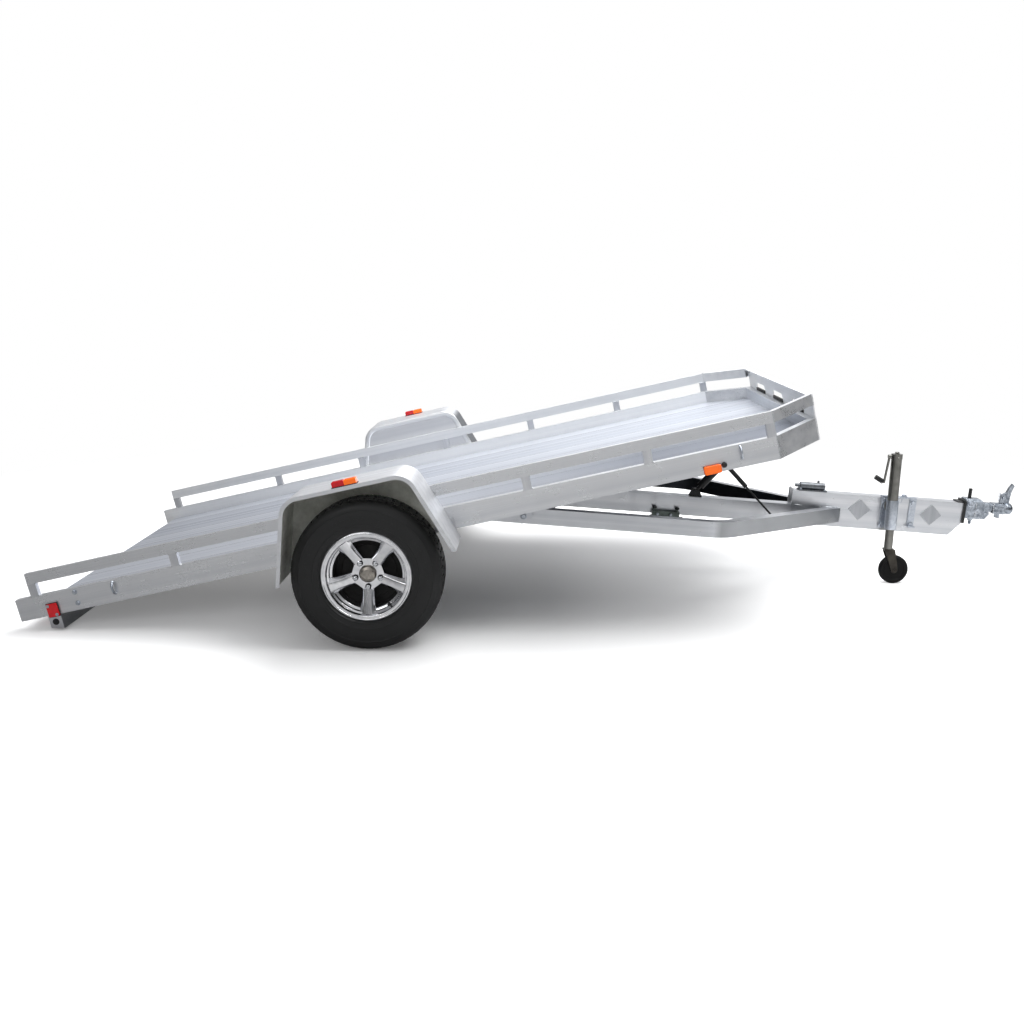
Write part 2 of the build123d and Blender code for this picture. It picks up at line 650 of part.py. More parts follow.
def rim():
    """Cast wheel: barrel, dished face, five spokes with raised spines, lug holes and centre bore."""
    back = HUB_FACE_Y - WHEEL_Y
    face = revolve_y([(CENTRE_BORE_R, back), (78, back), (86, 6), (150, 34), (BEAD_R - 6, 40),
                      (BEAD_R - 6, 62), (150, 58), (100, 40), (70, 34), (CENTRE_BORE_R, 34)])
    for i in range(SPOKES):
        angle = 270 + 360 / SPOKES * i
        plane = Plane(origin=(0, -40, 0), x_dir=(1, 0, 0), z_dir=(0, 1, 0))
        window = extrude(plane * Rot(0, 0, angle) * window_sketch(), amount=140)
        face -= window
    spine_start = 66.0
    spine_end = 168.0
    for i in range(SPOKES):
        angle = 270 + 360 / SPOKES * i
        spine_wire = Wire.make_polygon([Vector(spine_start, 30, 0), Vector(spine_end, 52, 0),
                                        Vector(spine_end, 74, 0), Vector(spine_start, 46, 0)], close=True)
        spine = extrude(Face(spine_wire), amount=11, dir=(0, 0, 1), both=True)
        face += Rot(0, -angle, 0) * spine
    wheel = rim_barrel() + face
    for i in range(SPOKES):
        angle = math.radians(270 + 360 / SPOKES * i)
        x = LUG_PCD / 2 * math.cos(angle)
        z = LUG_PCD / 2 * math.sin(angle)
        wheel -= rod_y(x, z, LUG_HOLE_R, back - 5, 60)
        wheel -= rod_y(x, z, 13.5, 24, 60)
    return wheel


def wheel_hub():
    """Hub and brake drum, turning on the spindle."""
    back = HUB_FACE_Y - WHEEL_Y
    inner = ARM_Y + ARM_T + 6 - WHEEL_Y
    drum_face = back - 10
    drum_wall = 9.0
    return revolve_y([(SPINDLE_R + RUN_CLEAR, inner), (33, inner), (38, inner + 30), (40, drum_face - 12),
                      (DRUM_R - drum_wall, drum_face - 12), (DRUM_R - drum_wall, drum_face - DRUM_L),
                      (DRUM_R, drum_face - DRUM_L), (DRUM_R, drum_face - 5), (DRUM_R - 5, drum_face),
                      (75, drum_face), (75, back), (CENTRE_BORE_R - 0.6, back),
                      (CENTRE_BORE_R - 2, back + 22), (30, back + 38), (0, back + 38), (0, back + 2),
                      (SPINDLE_R + RUN_CLEAR, back + 2)])


def centre_cap():
    """Domed cap on the wheel's centre bore."""
    return revolve_y([(0, 34.2), (CENTRE_BORE_R + 3, 34.2), (CENTRE_BORE_R + 3, 40), (CENTRE_BORE_R - 3, 48),
                      (22, 53), (0, 54)])


# ---- tongue ----
def box_tube(x0, x1, y_half, z0, z1, wall, end_wall):
    """Rectangular tube along X, open at the ends or closed by end_wall."""
    outer = block(x0, x1, -y_half, y_half, z0, z1)
    inner = block(x0 + end_wall, x1 - end_wall, -y_half + wall, y_half - wall, z0 + wall, z1 - wall)
    return outer - inner


def spine_tube():
    """Lower tongue tube with its front bottom corner cut back."""
    top = ARM_H / 2
    bottom = top - SPINE_H
    tube = box_tube(SPINE_REAR, STACK_FRONT, SPINE_W / 2, bottom, top, TUBE_WALL, -1)
    cut = side_prism([(STACK_FRONT + 1, bottom - 1), (STACK_FRONT - 60, bottom - 1),
                      (STACK_FRONT + 1, bottom + 68)], -SPINE_W, SPINE_W)
    return tube - cut


def upper_tube():
    """Upper tongue tube on top of the front half of the spine."""
    base = ARM_H / 2
    return box_tube(STACK_REAR, STACK_FRONT, SPINE_W / 2, base, base + UPPER_H, TUBE_WALL, -1)


def upper_end_plate():
    """Upright plate that closes the rear of the upper tube."""
    base = ARM_H / 2
    return block(STACK_REAR - 6, STACK_REAR, -SPINE_W / 2, SPINE_W / 2, base, base + UPPER_H + 8)


def arm_path():
    """Plan centre line of the left A-frame rail, from the hinge to the spine's side."""
    side = SPINE_W / 2
    slope = math.radians(ARM_SLOPE)
    end_x = STACK_REAR + 218.0
    corner_x = end_x - (ARM_HALF - side) / math.tan(slope)
    beyond = 60.0
    return [(ARM_REAR, ARM_HALF, 0), (corner_x, ARM_HALF, 0),
            (end_x + beyond * math.cos(slope), side - beyond * math.sin(slope), 0)]


def tongue_arm():
    """Left A-frame rail: a bent rectangular tube, coped to the side of the spine."""
    path = FilletPolyline(*arm_path(), radius=ARM_BEND_R)
    start = Plane(origin=(ARM_REAR, ARM_HALF, 0), x_dir=(0, 1, 0), z_dir=(1, 0, 0))
    outer = sweep(start * Rectangle(ARM_W, ARM_H), path=path)
    inner = sweep(start * Rectangle(ARM_W - 2 * TUBE_WALL, ARM_H - 2 * TUBE_WALL), path=path)
    arm = outer - inner
    arm -= block(ARM_REAR - 1, STACK_FRONT, -SPINE_W, SPINE_W / 2, -ARM_H, ARM_H)
    arm -= rod_y(0, 0, PIN_R + RUN_CLEAR, ARM_HALF - ARM_W, ARM_HALF + ARM_W)
    return arm


def tongue_cross():
    """Tube that joins the rear of the spine to both A-frame rails."""
    half = ARM_HALF - ARM_W / 2
    tube = block(SPINE_REAR - 51, SPINE_REAR, -half, half, -ARM_H / 2, ARM_H / 2)
    return tube - block(SPINE_REAR - 51 + TUBE_WALL, SPINE_REAR - TUBE_WALL, -half - 1, half + 1,
                        -ARM_H / 2 + TUBE_WALL, ARM_H / 2 - TUBE_WALL)


def diamond_plates():
    """Square doubler plates set on their corners across the tube seam."""
    plates = []
    half = DIAMOND / math.sqrt(2)
    seam = ARM_H / 2
    for t in (STACK_REAR + 355, STACK_FRONT - 165):
        plate = side_prism([(t - half, seam), (t, seam + half), (t + half, seam), (t, seam - half)],
                           SPINE_W / 2, SPINE_W / 2 + 5)
        plates += both_sides(plate)
    return plates


def hinge_ears():
    """Four ears under the bed, two round each A-frame rail, with the hinge pins."""
    ears = []
    top = PLANK_BOTTOM - HINGE_W
    step = CROSS_BOTTOM - HINGE_W
    front = 12.0
    profile = [(-75, top), (front, top), (front, step), (48, step), (44, -10), (18, -34),
               (-18, -34), (-58, 0)]
    for sign in (-1, 1):
        inner = ARM_HALF + sign * (ARM_W / 2 + EAR_CLEAR)
        ear = side_prism(profile, min(inner, inner + sign * EAR_T), max(inner, inner + sign * EAR_T))
        ears.append(ear)
    pin = rod_y(0, 0, PIN_R, ARM_HALF - ARM_W / 2 - EAR_CLEAR - EAR_T - 10,
                ARM_HALF + ARM_W / 2 + EAR_CLEAR + EAR_T + 10)
    place = Location((HINGE_U, 0, HINGE_W))
    reach = ARM_W / 2 + EAR_CLEAR + EAR_T + 6
    cap = block(-75, front, ARM_HALF - reach, ARM_HALF + reach, top - 5, top)
    left = place * (ears[0] + ears[1] + pin + cap)
    return both_sides(left)


# ---- latch ----
def bed_latch():
    """Barrel latch on the upper tube, with its plunger and pull knob."""
    base = ARM_H / 2 + UPPER_H
    t0 = STACK_REAR + 28
    foot = block(t0, t0 + 150, -24, 24, base, base + 6)
    barrel = Pos(t0 + 75, 0, LATCH_V) * Rot(0, 90, 0) * Cylinder(19, 130)
    plunger = Pos(t0, 0, LATCH_V) * Rot(0, 90, 0) * Cylinder(LATCH_R, 30)
    knob = rod_z(t0 + 105, 0, 6, LATCH_V + 15, LATCH_V + 31)
    return foot + barrel + plunger + knob


# ---- coupler ----
def coupler_plate():
    """Square black flange on the nose of the tongue, with its lip and the black stud on the coupler."""
    base = ARM_H / 2 - 30
    top = ARM_H / 2 + UPPER_H
    root_t = STACK_FRONT + NOSE_PLATE_T
    plate = block(STACK_FRONT, root_t, -50, 50, base, top + 14)
    lip = block(STACK_FRONT - 30, STACK_FRONT + 1, -36, 36, top, top + 6)
    stud = rod_z(root_t + 28, 0, 9, BALL_V + COUPLER_UP, BALL_V + COUPLER_UP + 50)
    return [plate + lip, stud]


def coupler_body():
    """Cast coupler: deep bolted root, short neck, hood and the ball socket."""
    root_t = STACK_FRONT + NOSE_PLATE_T
    root = side_prism([(root_t, BALL_V - COUPLER_DOWN), (root_t + 84, BALL_V - COUPLER_DOWN),
                       (root_t + 98, BALL_V - 40), (root_t + 98, BALL_V + 26),
                       (root_t + 78, BALL_V + COUPLER_UP),
                       (root_t, BALL_V + COUPLER_UP)], -42, 42)
    root = chamfer(root.edges().filter_by(Axis.X), 14)
    neck = block(root_t + 90, BALL_T - 60, -22, 22, BALL_V - 22, BALL_V + 26)
    neck = chamfer(neck.edges().filter_by(Axis.X), 8)
    hook = side_prism([(root_t + 80, BALL_V - 40), (root_t + 134, BALL_V - 20), (root_t + 140, BALL_V - 34),
                       (root_t + 118, BALL_V - COUPLER_DOWN - 2),
                       (root_t + 80, BALL_V - COUPLER_DOWN)], -12, 12)
    hood = block(BALL_T - 74, BALL_T, -31, 31, BALL_V - 28, BALL_V + 28)
    hood = chamfer(hood.edges().filter_by(Axis.X), 12)
    clamp = block(BALL_T - 52, BALL_T - 34, -14, 14, BALL_V - 50, BALL_V - 27)
    shell_r = BALL_R + COUPLER_WALL
    dome = Pos(BALL_T, 0, BALL_V) * Sphere(shell_r)
    dome &= block(BALL_T - shell_r, BALL_T + shell_r, -shell_r, shell_r, BALL_V - 30, BALL_V + shell_r)
    body = root + neck + hook + hood + clamp + dome
    body -= Pos(BALL_T, 0, BALL_V) * Sphere(BALL_R + 0.4)
    body -= rod_z(BALL_T, 0, BALL_R + 0.4, BALL_V - 60, BALL_V)
    return body


def coupler_lever():
    """Latch lever standing up over the hood."""
    t = BALL_T
    v = BALL_V
    return side_prism([(t - 40, v + 30), (t + 8, v + 30), (t + 8, v + 62), (t + 12, v + 96),
                       (t + 22, v + 126),
                       (t + 12, v + 136), (t - 2, v + 114), (t - 12, v + 88), (t - 36, v + 72)], -10, 10)


# ---- jack ----
def jack_bracket():
    """Pivot hub, top ledge and J-shaped strap that hold the jack to the side of the tongue."""
    plate_y = -SPINE_W / 2
    base = ARM_H / 2 - SPINE_H + 14
    top = ARM_H / 2 + UPPER_H
    plate = block(JACK_T - 38, JACK_T + 22, plate_y - 8, plate_y, base, top)
    ledge = block(JACK_T - 38, JACK_T + 142, plate_y - 8, plate_y + 30, top, top + 7)
    hub = rod_y(JACK_T, JACK_PIVOT_V, 30, JACK_Y + JACK_TUBE_R + 1.5, plate_y - 8)
    strap = block(JACK_T + 108, JACK_T + 142, plate_y - 8, plate_y, base + 16, top)
    foot = block(JACK_T + 108, JACK_T + 142, plate_y - 34, plate_y - 8, base + 16, base + 24)
    return plate + ledge + hub + strap + foot


def jack_housing():
    """Outer tube of the jack with its gear head and a swivel flange."""
    tube = rod_z(JACK_T, JACK_Y, JACK_TUBE_R, JACK_FOOT_V, JACK_TOP_V)
    bore = rod_z(JACK_T, JACK_Y, JACK_TUBE_R - JACK_TUBE_WALL, JACK_FOOT_V - 1, JACK_TOP_V - 30)
    cap = rod_z(JACK_T, JACK_Y, JACK_TUBE_R + JACK_CAP, JACK_TOP_V - 26, JACK_TOP_V)
    flange = rod_y(JACK_T, JACK_PIVOT_V, 34, JACK_Y + JACK_TUBE_R - 8, JACK_Y + JACK_TUBE_R + 1)
    flange -= bore
    return tube + cap + flange - bore


def jack_crank():
    """Folded crank arm and grip behind the jack's head."""
    head_t = JACK_T - JACK_TUBE_R - JACK_CAP
    elbow, tip = grip_line()
    arm = rod_between((head_t - 9, JACK_Y, JACK_TOP_V - 14), elbow, CRANK_R)
    boss = Pos(head_t - 8, JACK_Y, JACK_TOP_V - 14) * Rot(0, 90, 0) * Cylinder(10, 16)
    return arm + boss + rod_between(elbow, tip, CRANK_R) + Pos(*elbow) * Sphere(CRANK_R)


def grip_line():
    """Elbow and tip of the crank's handle."""
    elbow_t = JACK_T - JACK_TUBE_R - 27
    return (elbow_t, JACK_Y, JACK_TOP_V - 150), (elbow_t - 48, JACK_Y, JACK_TOP_V - 122)


def jack_grip():
    """Black grip on the crank."""
    elbow, tip = grip_line()
    start = Vector(*elbow) + (Vector(*tip) - Vector(*elbow)) * 0.2
    end = Vector(*elbow) + (Vector(*tip) - Vector(*elbow)) * 0.97
    sleeve = rod_between(start, end, 12)
    return sleeve - rod_between(elbow, tip, CRANK_R + RUN_CLEAR)


def jack_ram():
    """Inner tube of the jack."""
    top = JACK_TOP_V - 150
    ram = rod_z(JACK_T, JACK_Y, RAM_R, FORK_TOP_V, top)
    return ram - rod_z(JACK_T, JACK_Y, RAM_R - 3, FORK_TOP_V + 12, top + 1)


def caster_fork():
    """Pressed fork that trails the caster wheel."""
    clear = 4.0
    half = CASTER_W / 2 + clear
    cheek = side_prism([(JACK_T - 24, FORK_TOP_V), (JACK_T + 30, FORK_TOP_V),
                        (CASTER_T + 16, CASTER_V + 8), (CASTER_T + 10, CASTER_V - 14),
                        (CASTER_T - 12, CASTER_V - 14)], half, half + 4)
    fork = Pos(0, JACK_Y, 0) * (cheek + mirrored(cheek))
    crown = block(JACK_T - 24, JACK_T + 30, JACK_Y - half - 4, JACK_Y + half + 4, FORK_TOP_V - 6,
                  FORK_TOP_V - 0.3)
    axle = rod_y(CASTER_T, CASTER_V, 6, JACK_Y - half - 8, JACK_Y + half + 8)
    return fork + crown + axle


def caster_wheel():
    """Solid rubber wheel with a crowned tread."""
    half = CASTER_W / 2
    wheel = revolve_y([(6 + RUN_CLEAR, -half - 2), (16, -half - 2), (20, -half + 4), (50, -half + 4),
                       (56, -half), (CASTER_R - 8, -half), (CASTER_R, -half + 10), (CASTER_R, half - 10),
                       (CASTER_R - 8, half), (56, half), (50, half - 4), (20, half - 4), (16, half + 2),
                       (6 + RUN_CLEAR, half + 2)])
    return Pos(CASTER_T, JACK_Y, CASTER_V) * wheel


# ---- tilt valve ----
def tilt_valve():
    """Valve block that meters the damper, low on the spine's side, with its two knobs."""
    face = -SPINE_W / 2
    low = ARM_H / 2 - SPINE_H - 34
    base_top = low + 24
    body_top = low + 54
    start = VALVE_T
    base = block(start, start + VALVE_L, face - 46, face, low, base_top)
    body = block(start + 10, start + VALVE_L - 22, face - 40, face, base_top, body_top)
    knobs = [rod_z(t, face - 22, 7, body_top, body_top + 18) for t in (start + 22, start + VALVE_L - 34)]
    return base + body + knobs[0] + knobs[1]


# ---- damper and strut ----
def to_tongue(point):
    """Tongue coordinates of a bed side-view point."""
    return world_to_tongue(*bed_to_world(*point))


def link_eye(point, y, eye_r, eye_w, hole_r):
    """Eye at one end of a link, across Y."""
    x, z = point
    eye = rod_y(x, z, eye_r, y - eye_w / 2, y + eye_w / 2)
    return eye - rod_y(x, z, hole_r, y - eye_w, y + eye_w)


def along(foot, head, distance):
    """Point at a distance from foot towards head."""
    length = math.hypot(head[0] - foot[0], head[1] - foot[1])
    return (foot[0] + (head[0] - foot[0]) * distance / length,
            foot[1] + (head[1] - foot[1]) * distance / length)


def tube_between(a, b, y, radius):
    """Rod between two side-view points at one Y."""
    return rod_between((a[0], y, a[1]), (b[0], y, b[1]), radius)


def damper_cylinder():
    """Cylinder of the tilt damper, with its eye on the tongue."""
    head = to_tongue(DAMPER_HEAD)
    foot = DAMPER_FOOT
    eye = link_eye(foot, DAMPER_Y, 15, 24, 8 + RUN_CLEAR)
    body = tube_between(along(foot, head, 34), along(foot, head, 300), DAMPER_Y, DAMPER_R)
    body += tube_between(along(foot, head, 12), along(foot, head, 36), DAMPER_Y, 10)
    bore = tube_between(along(foot, head, 50), along(foot, head, 301), DAMPER_Y, 11 + RUN_CLEAR)
    return eye + body - bore - rod_y(foot[0], foot[1], 8 + RUN_CLEAR, -30, 30)


def damper_rod():
    """Rod of the tilt damper, with its eye on the bed."""
    head = to_tongue(DAMPER_HEAD)
    foot = DAMPER_FOOT
    length = math.hypot(head[0] - foot[0], head[1] - foot[1])
    rod = tube_between(along(foot, head, 160), along(foot, head, length - 13), DAMPER_Y, 11)
    return rod + link_eye(head, DAMPER_Y, 14, 22, 8 + RUN_CLEAR)


def damper_foot():
    """Clevis lug on the spine that holds the damper's foot pin."""
    t, v = DAMPER_FOOT
    base = ARM_H / 2
    cheek = side_prism([(t - 34, base), (t + 34, base), (t + 14, v + 14), (t - 14, v + 14)], 14, 20)
    pin = rod_y(t, v, 8, -26, 26)
    return cheek + mirrored(cheek) + pin


def damper_head():
    """Clevis lug under the front of the bed for the damper's rod."""
    u, w = DAMPER_HEAD
    base = PLANK_BOTTOM - HEAD_PLATE_T
    cheek = side_prism([(u - 30, base), (u + 40, base), (u + 15, w - 12), (u - 15, w - 12)], 13, 19)
    lug = cheek + rod_y(u, w, 11, 19, 26)
    plate = block(u - 36, u + 46, -HEAD_PLATE_HALF, HEAD_PLATE_HALF, base, PLANK_BOTTOM)
    return lug + mirrored(lug) + plate


def strut_cylinder():
    """Gas strut body, with its eye under the bed."""
    head = STRUT_HEAD
    foot = bed_point_of_tongue(STRUT_FOOT)
    eye = link_eye(head, STRUT_Y, 10, EYE_W, 4 + RUN_CLEAR)
    body = tube_between(along(head, foot, 24), along(head, foot, 258), STRUT_Y, STRUT_R)
    body += tube_between(along(head, foot, 8), along(head, foot, 26), STRUT_Y, 6)
    bore = tube_between(along(head, foot, 40), along(head, foot, 259), STRUT_Y, 5 + RUN_CLEAR)
    return eye + body - bore - rod_y(head[0], head[1], 4 + RUN_CLEAR, STRUT_Y - 20, STRUT_Y + 20)


def strut_rod():
    """Gas strut rod, with its eye on the A-frame."""
    head = STRUT_HEAD
    foot = bed_point_of_tongue(STRUT_FOOT)
    length = math.hypot(head[0] - foot[0], head[1] - foot[1])
    rod = tube_between(along(head, foot, 225), along(head, foot, length - 8), STRUT_Y, 5)
    return rod + link_eye(foot, STRUT_Y, 10, EYE_W, 4 + RUN_CLEAR)


def bed_point_of_tongue(point):
    """Bed coordinates, at rest, of a tongue side-view point."""
    x, z = tongue_to_world(*point)
    dz = z - TYRE_R
    return x * TILT_COS + dz * TILT_SIN, -x * TILT_SIN + dz * TILT_COS


def strut_head():
    """Ball stud plate under the bed for the gas strut."""
    u, w = STRUT_HEAD
    base = PLANK_BOTTOM - HEAD_PLATE_T
    lug = side_prism([(u - 26, base), (u + 26, base), (u + 12, w - 12), (u - 12, w - 12)],
                     STRUT_Y + STRUT_R + 1, STRUT_Y + STRUT_R + 6)
    plate = block(u - 32, u + 32, STRUT_Y - HEAD_PLATE_HALF / 2, STRUT_Y + HEAD_PLATE_HALF / 2,
                  base, PLANK_BOTTOM)
    return lug + plate + rod_y(u, w, 4, STRUT_Y - 9, STRUT_Y + STRUT_R + 1)


def strut_foot():
    """Pin on the A-frame rail for the gas strut."""
    t, v = STRUT_FOOT
    arm_line = arm_path()[1]
    inner_y = ARM_HALF - (t - arm_line[0]) * math.tan(math.radians(ARM_SLOPE))
    inner_y -= ARM_W / 2 / math.cos(math.radians(ARM_SLOPE))
    return rod_y(t, v, 8, -inner_y - 12, STRUT_Y - EYE_W / 2 - 0.5)


# ---- assembly ----
def build():
    """All sub-parts in the row frame, by node name."""
    parts = {}
    bed = {"side_rail_left": side_rail(), "top_rail_left": top_rail()}
    for name, shape in bed.items():
        parts[name] = BED * shape
        parts[name.replace("left", "right")] = BED * mirrored(shape)
    parts["corner_rails"] = [BED * p for p in both_sides(corner_rail())]
    posts = side_posts()
    parts["side_posts"] = [BED * p for p in posts + [mirrored(p) for p in posts]]
    parts["front_beam"] = BED * front_beam()
    parts["front_panel"] = BED * front_panel()
    parts["deck_planks"] = [BED * p for p in deck_planks()]
    parts["cross_members"] = [BED * p for p in cross_members()]
    parts["rear_beam"] = BED * rear_beam()
    parts["beam_end_plates"] = [BED * p for p in beam_end_plates()]
    parts["beam_grommets"] = [BED * p for p in grommets()]
    parts["rear_side_lamps"] = [BED * p for p in rear_side_lamps()]
    parts["tail_lamps"] = [BED * p for p in tail_lamps()]
    parts["front_side_lamps"] = [BED * p for p in front_side_lamps()]
    left_fender = fender()
    parts["fender_left"] = BED * left_fender
    parts["fender_right"] = BED * mirrored(left_fender)
    parts["fender_lamps_red"] = [BED * p for p in fender_lamps("red")]
    parts["fender_lamps_amber"] = [BED * p for p in fender_lamps("amber")]
    parts["axle_tube"] = BED * axle_tube()
    parts["axle_brackets"] = [BED * p for p in axle_brackets()]
    parts["torsion_arms"] = [BED * p for p in both_sides(torsion_arm())]
    parts["hinge_ears"] = [BED * p for p in hinge_ears()]
    parts["damper_head"] = BED * damper_head()
    parts["strut_head"] = BED * strut_head()
    wheel = {"tyre": tyre(), "rim": rim(), "hub": wheel_hub(), "centre_cap": centre_cap()}
    for name, shape in wheel.items():
        placed = Location((0, WHEEL_Y, TYRE_R)) * shape
        parts[name + "_left"] = ROW * placed
        parts[name + "_right"] = ROW * mirrored(placed)
    parts["tongue_spine"] = TONGUE * spine_tube()
    parts["tongue_upper_tube"] = TONGUE * upper_tube()
    parts["upper_end_plate"] = TONGUE * upper_end_plate()
    arm_rail = tongue_arm()
    parts["tongue_arm_left"] = TONGUE * arm_rail
    parts["tongue_arm_right"] = TONGUE * mirrored(arm_rail)
    parts["tongue_cross"] = TONGUE * tongue_cross()
    parts["diamond_plates"] = [TONGUE * p for p in diamond_plates()]
    parts["bed_latch"] = TONGUE * bed_latch()
    parts["damper_foot"] = TONGUE * damper_foot()
    parts["strut_foot"] = TONGUE * main_solid(strut_foot() - mirrored(arm_rail))
    parts["tilt_valve"] = TONGUE * tilt_valve()
    parts["coupler_plate"] = [TONGUE * p for p in coupler_plate()]
    casting = coupler_body()
    parts["coupler_body"] = TONGUE * casting
    parts["coupler_lever"] = TONGUE * main_solid(coupler_lever() - casting)
    parts["jack_bracket"] = TONGUE * jack_bracket()
    parts["jack_housing"] = JACK * jack_housing()
    parts["jack_crank"] = JACK * jack_crank()
    parts["jack_grip"] = JACK * jack_grip()
    parts["jack_ram"] = JACK * jack_ram()
    parts["caster_fork"] = JACK * caster_fork()
    parts["caster_wheel"] = JACK * caster_wheel()
    parts["damper_cylinder"] = TONGUE * damper_cylinder()
    parts["damper_rod"] = TONGUE * damper_rod()
    parts["strut_cylinder"] = BED * strut_cylinder()
    parts["strut_rod"] = BED * strut_rod()
    return parts


os.makedirs("parts", exist_ok=True)
for node, shape in build().items():
    solids = Compound(children=shape) if isinstance(shape, list) else shape
    export_step(solids, "parts/" + node + ".step")
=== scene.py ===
# %% [markdown]
# # Tilt utility trailer, the looks
# The CAD frame already holds every tube, plate and wheel at its real size and place. This lesson dresses
# it: each CAD piece gets a real finish, and what a maker adds last, such as tyre tread, wheel castings,
# welds, bolts and lamp gaskets, is modelled on top. The frame is loaded first, and nothing in it is moved.

import math
import random

import bmesh
import bpy
from mathutils import Matrix, Vector


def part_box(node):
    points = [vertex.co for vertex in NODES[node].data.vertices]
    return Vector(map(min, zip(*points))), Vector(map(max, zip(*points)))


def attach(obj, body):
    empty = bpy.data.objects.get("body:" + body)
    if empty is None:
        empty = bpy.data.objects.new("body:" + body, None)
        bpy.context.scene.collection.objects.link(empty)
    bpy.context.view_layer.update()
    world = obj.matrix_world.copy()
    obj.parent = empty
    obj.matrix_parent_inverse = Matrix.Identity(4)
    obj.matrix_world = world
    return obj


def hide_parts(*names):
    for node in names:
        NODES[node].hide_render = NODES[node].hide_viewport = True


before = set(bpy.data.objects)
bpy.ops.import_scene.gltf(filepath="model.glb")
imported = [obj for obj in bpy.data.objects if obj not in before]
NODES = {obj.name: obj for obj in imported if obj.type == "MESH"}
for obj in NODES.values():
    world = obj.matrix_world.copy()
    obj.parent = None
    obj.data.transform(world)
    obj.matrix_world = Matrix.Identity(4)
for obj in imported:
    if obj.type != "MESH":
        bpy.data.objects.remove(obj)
random.seed(7)
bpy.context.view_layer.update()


# %% [markdown]
# ## The sloping frames
# The bed of the real trailer leans back about its hinge, the tongue slopes down to the ball, and the jack
# leans a little more. Detail could be placed straight in the scene's axes, but then every bolt would need
# its own slope worked out. Instead each gets a straight frame of its own, with U or T along it and W or V
# square to it, and one matrix turns that frame into the scene's.

# %% Bed, tongue and jack frames
BED_TILT = math.radians(12.7)
TONGUE_DROP = math.radians(4.1)
JACK_LEAN = math.radians(2.8)
HINGE_U, HINGE_W = 0.678, -0.007
JACK_T, JACK_Y, JACK_PIVOT_V = 1.920, -0.097, 0.076
tyre_low, tyre_high = (Vector(corner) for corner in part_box("tyre_right"))
WHEEL_CENTRE = (tyre_low + tyre_high) / 2
WHEEL_Y = abs(WHEEL_CENTRE.y)
AXLE = Matrix.Translation((WHEEL_CENTRE.x, 0, WHEEL_CENTRE.z))
BED = AXLE @ Matrix.Rotation(-BED_TILT, 4, "Y")
TONGUE = Matrix.Translation(BED @ Vector((HINGE_U, 0, HINGE_W))) @ Matrix.Rotation(TONGUE_DROP, 4, "Y")
JACK = TONGUE @ Matrix.Translation((JACK_T, 0, JACK_PIVOT_V)) @ Matrix.Rotation(-JACK_LEAN, 4, "Y")
JACK = JACK @ Matrix.Translation((-JACK_T, 0, -JACK_PIVOT_V))
print("wheel centre", [round(v, 4) for v in WHEEL_CENTRE])

# %% [markdown]
# ## Camera
# The trailer is nearly five metres long and only one metre high. A short lens from close by would swell the
# near wheel, so the camera stands almost six metres off its right side with a slightly long lens, a little
# above the deck and looking down at it.

# %% Camera
LENS_MM = 38.07
CAMERA_PLACE = (-0.0605, -5.7008, 1.5568)
CAMERA_DOWN = 0.2081
CAMERA_YAW = 0.0261
camera_data = bpy.data.cameras.new("camera")
camera_data.lens = LENS_MM
camera_data.sensor_width = 36
camera = bpy.data.objects.new("camera", camera_data)
bpy.context.collection.objects.link(camera)
camera.location = CAMERA_PLACE
camera.rotation_euler = (math.radians(90) - CAMERA_DOWN, 0, CAMERA_YAW)
bpy.context.scene.camera = camera
print("camera at", tuple(camera.location))

# %% [markdown]
# ## Floor and lamps
# Bare metal shows the room more than its own colour. A single hard lamp would give it one spark and leave
# the rest dull, so one softbox larger than the trailer hangs overhead and does nearly all the work. Three
# weak ones fill the viewer's side and draw a line of light along the front and rear edges.

# %% Floor and lamps
FLOOR_SIZE = 24.0
bpy.ops.mesh.primitive_plane_add(size=FLOOR_SIZE, location=(0, 0, 0))
floor = bpy.context.object
floor.name = "studio_floor"


def lamp(name, place, aim, size, power):
    """Soft rectangular lamp aimed at a point."""
    data = bpy.data.lights.new(name, "AREA")
    data.shape = "RECTANGLE"
    data.size, data.size_y = size
    data.energy = power
    made = bpy.data.objects.new(name, data)
    bpy.context.collection.objects.link(made)
    made.location = place
    made.rotation_euler = (Vector(aim) - Vector(place)).to_track_quat("-Z", "Y").to_euler()


lamp("overhead softbox", (0.9, 0.25, 4.4), (0.7, 0.1, 0.3), (6.6, 3.0), 380)
lamp("viewer fill", (-2.4, -5.2, 2.6), (0.2, 0, 0.4), (3.0, 1.6), 38)
lamp("front rim", (5.2, -1.2, 2.6), (1.4, 0, 0.5), (1.6, 1.8), 18)
lamp("rear strip", (-5.4, 1.8, 2.4), (-1.5, 0, 0.4), (1.2, 2.2), 12)

# %% [markdown]
# ## One function for nodes
# A finish is a small tree of nodes. Made by hand in Python, each node takes four or five lines, so one
# function adds any node with its settings and links, and gives back the output that the next node needs.
# Colours are written as sRGB hex, as a paint chart gives them, and turned to Blender's linear values here.

# %% Node function
def hex_colour(code):
    """sRGB hex to the linear colour that Blender's sockets take."""
    parts = [int(code[i:i + 2], 16) / 255 for i in (0, 2, 4)]
    return tuple(c / 12.92 if c <= 0.04045 else ((c + 0.055) / 1.055) ** 2.4 for c in parts) + (1.0,)


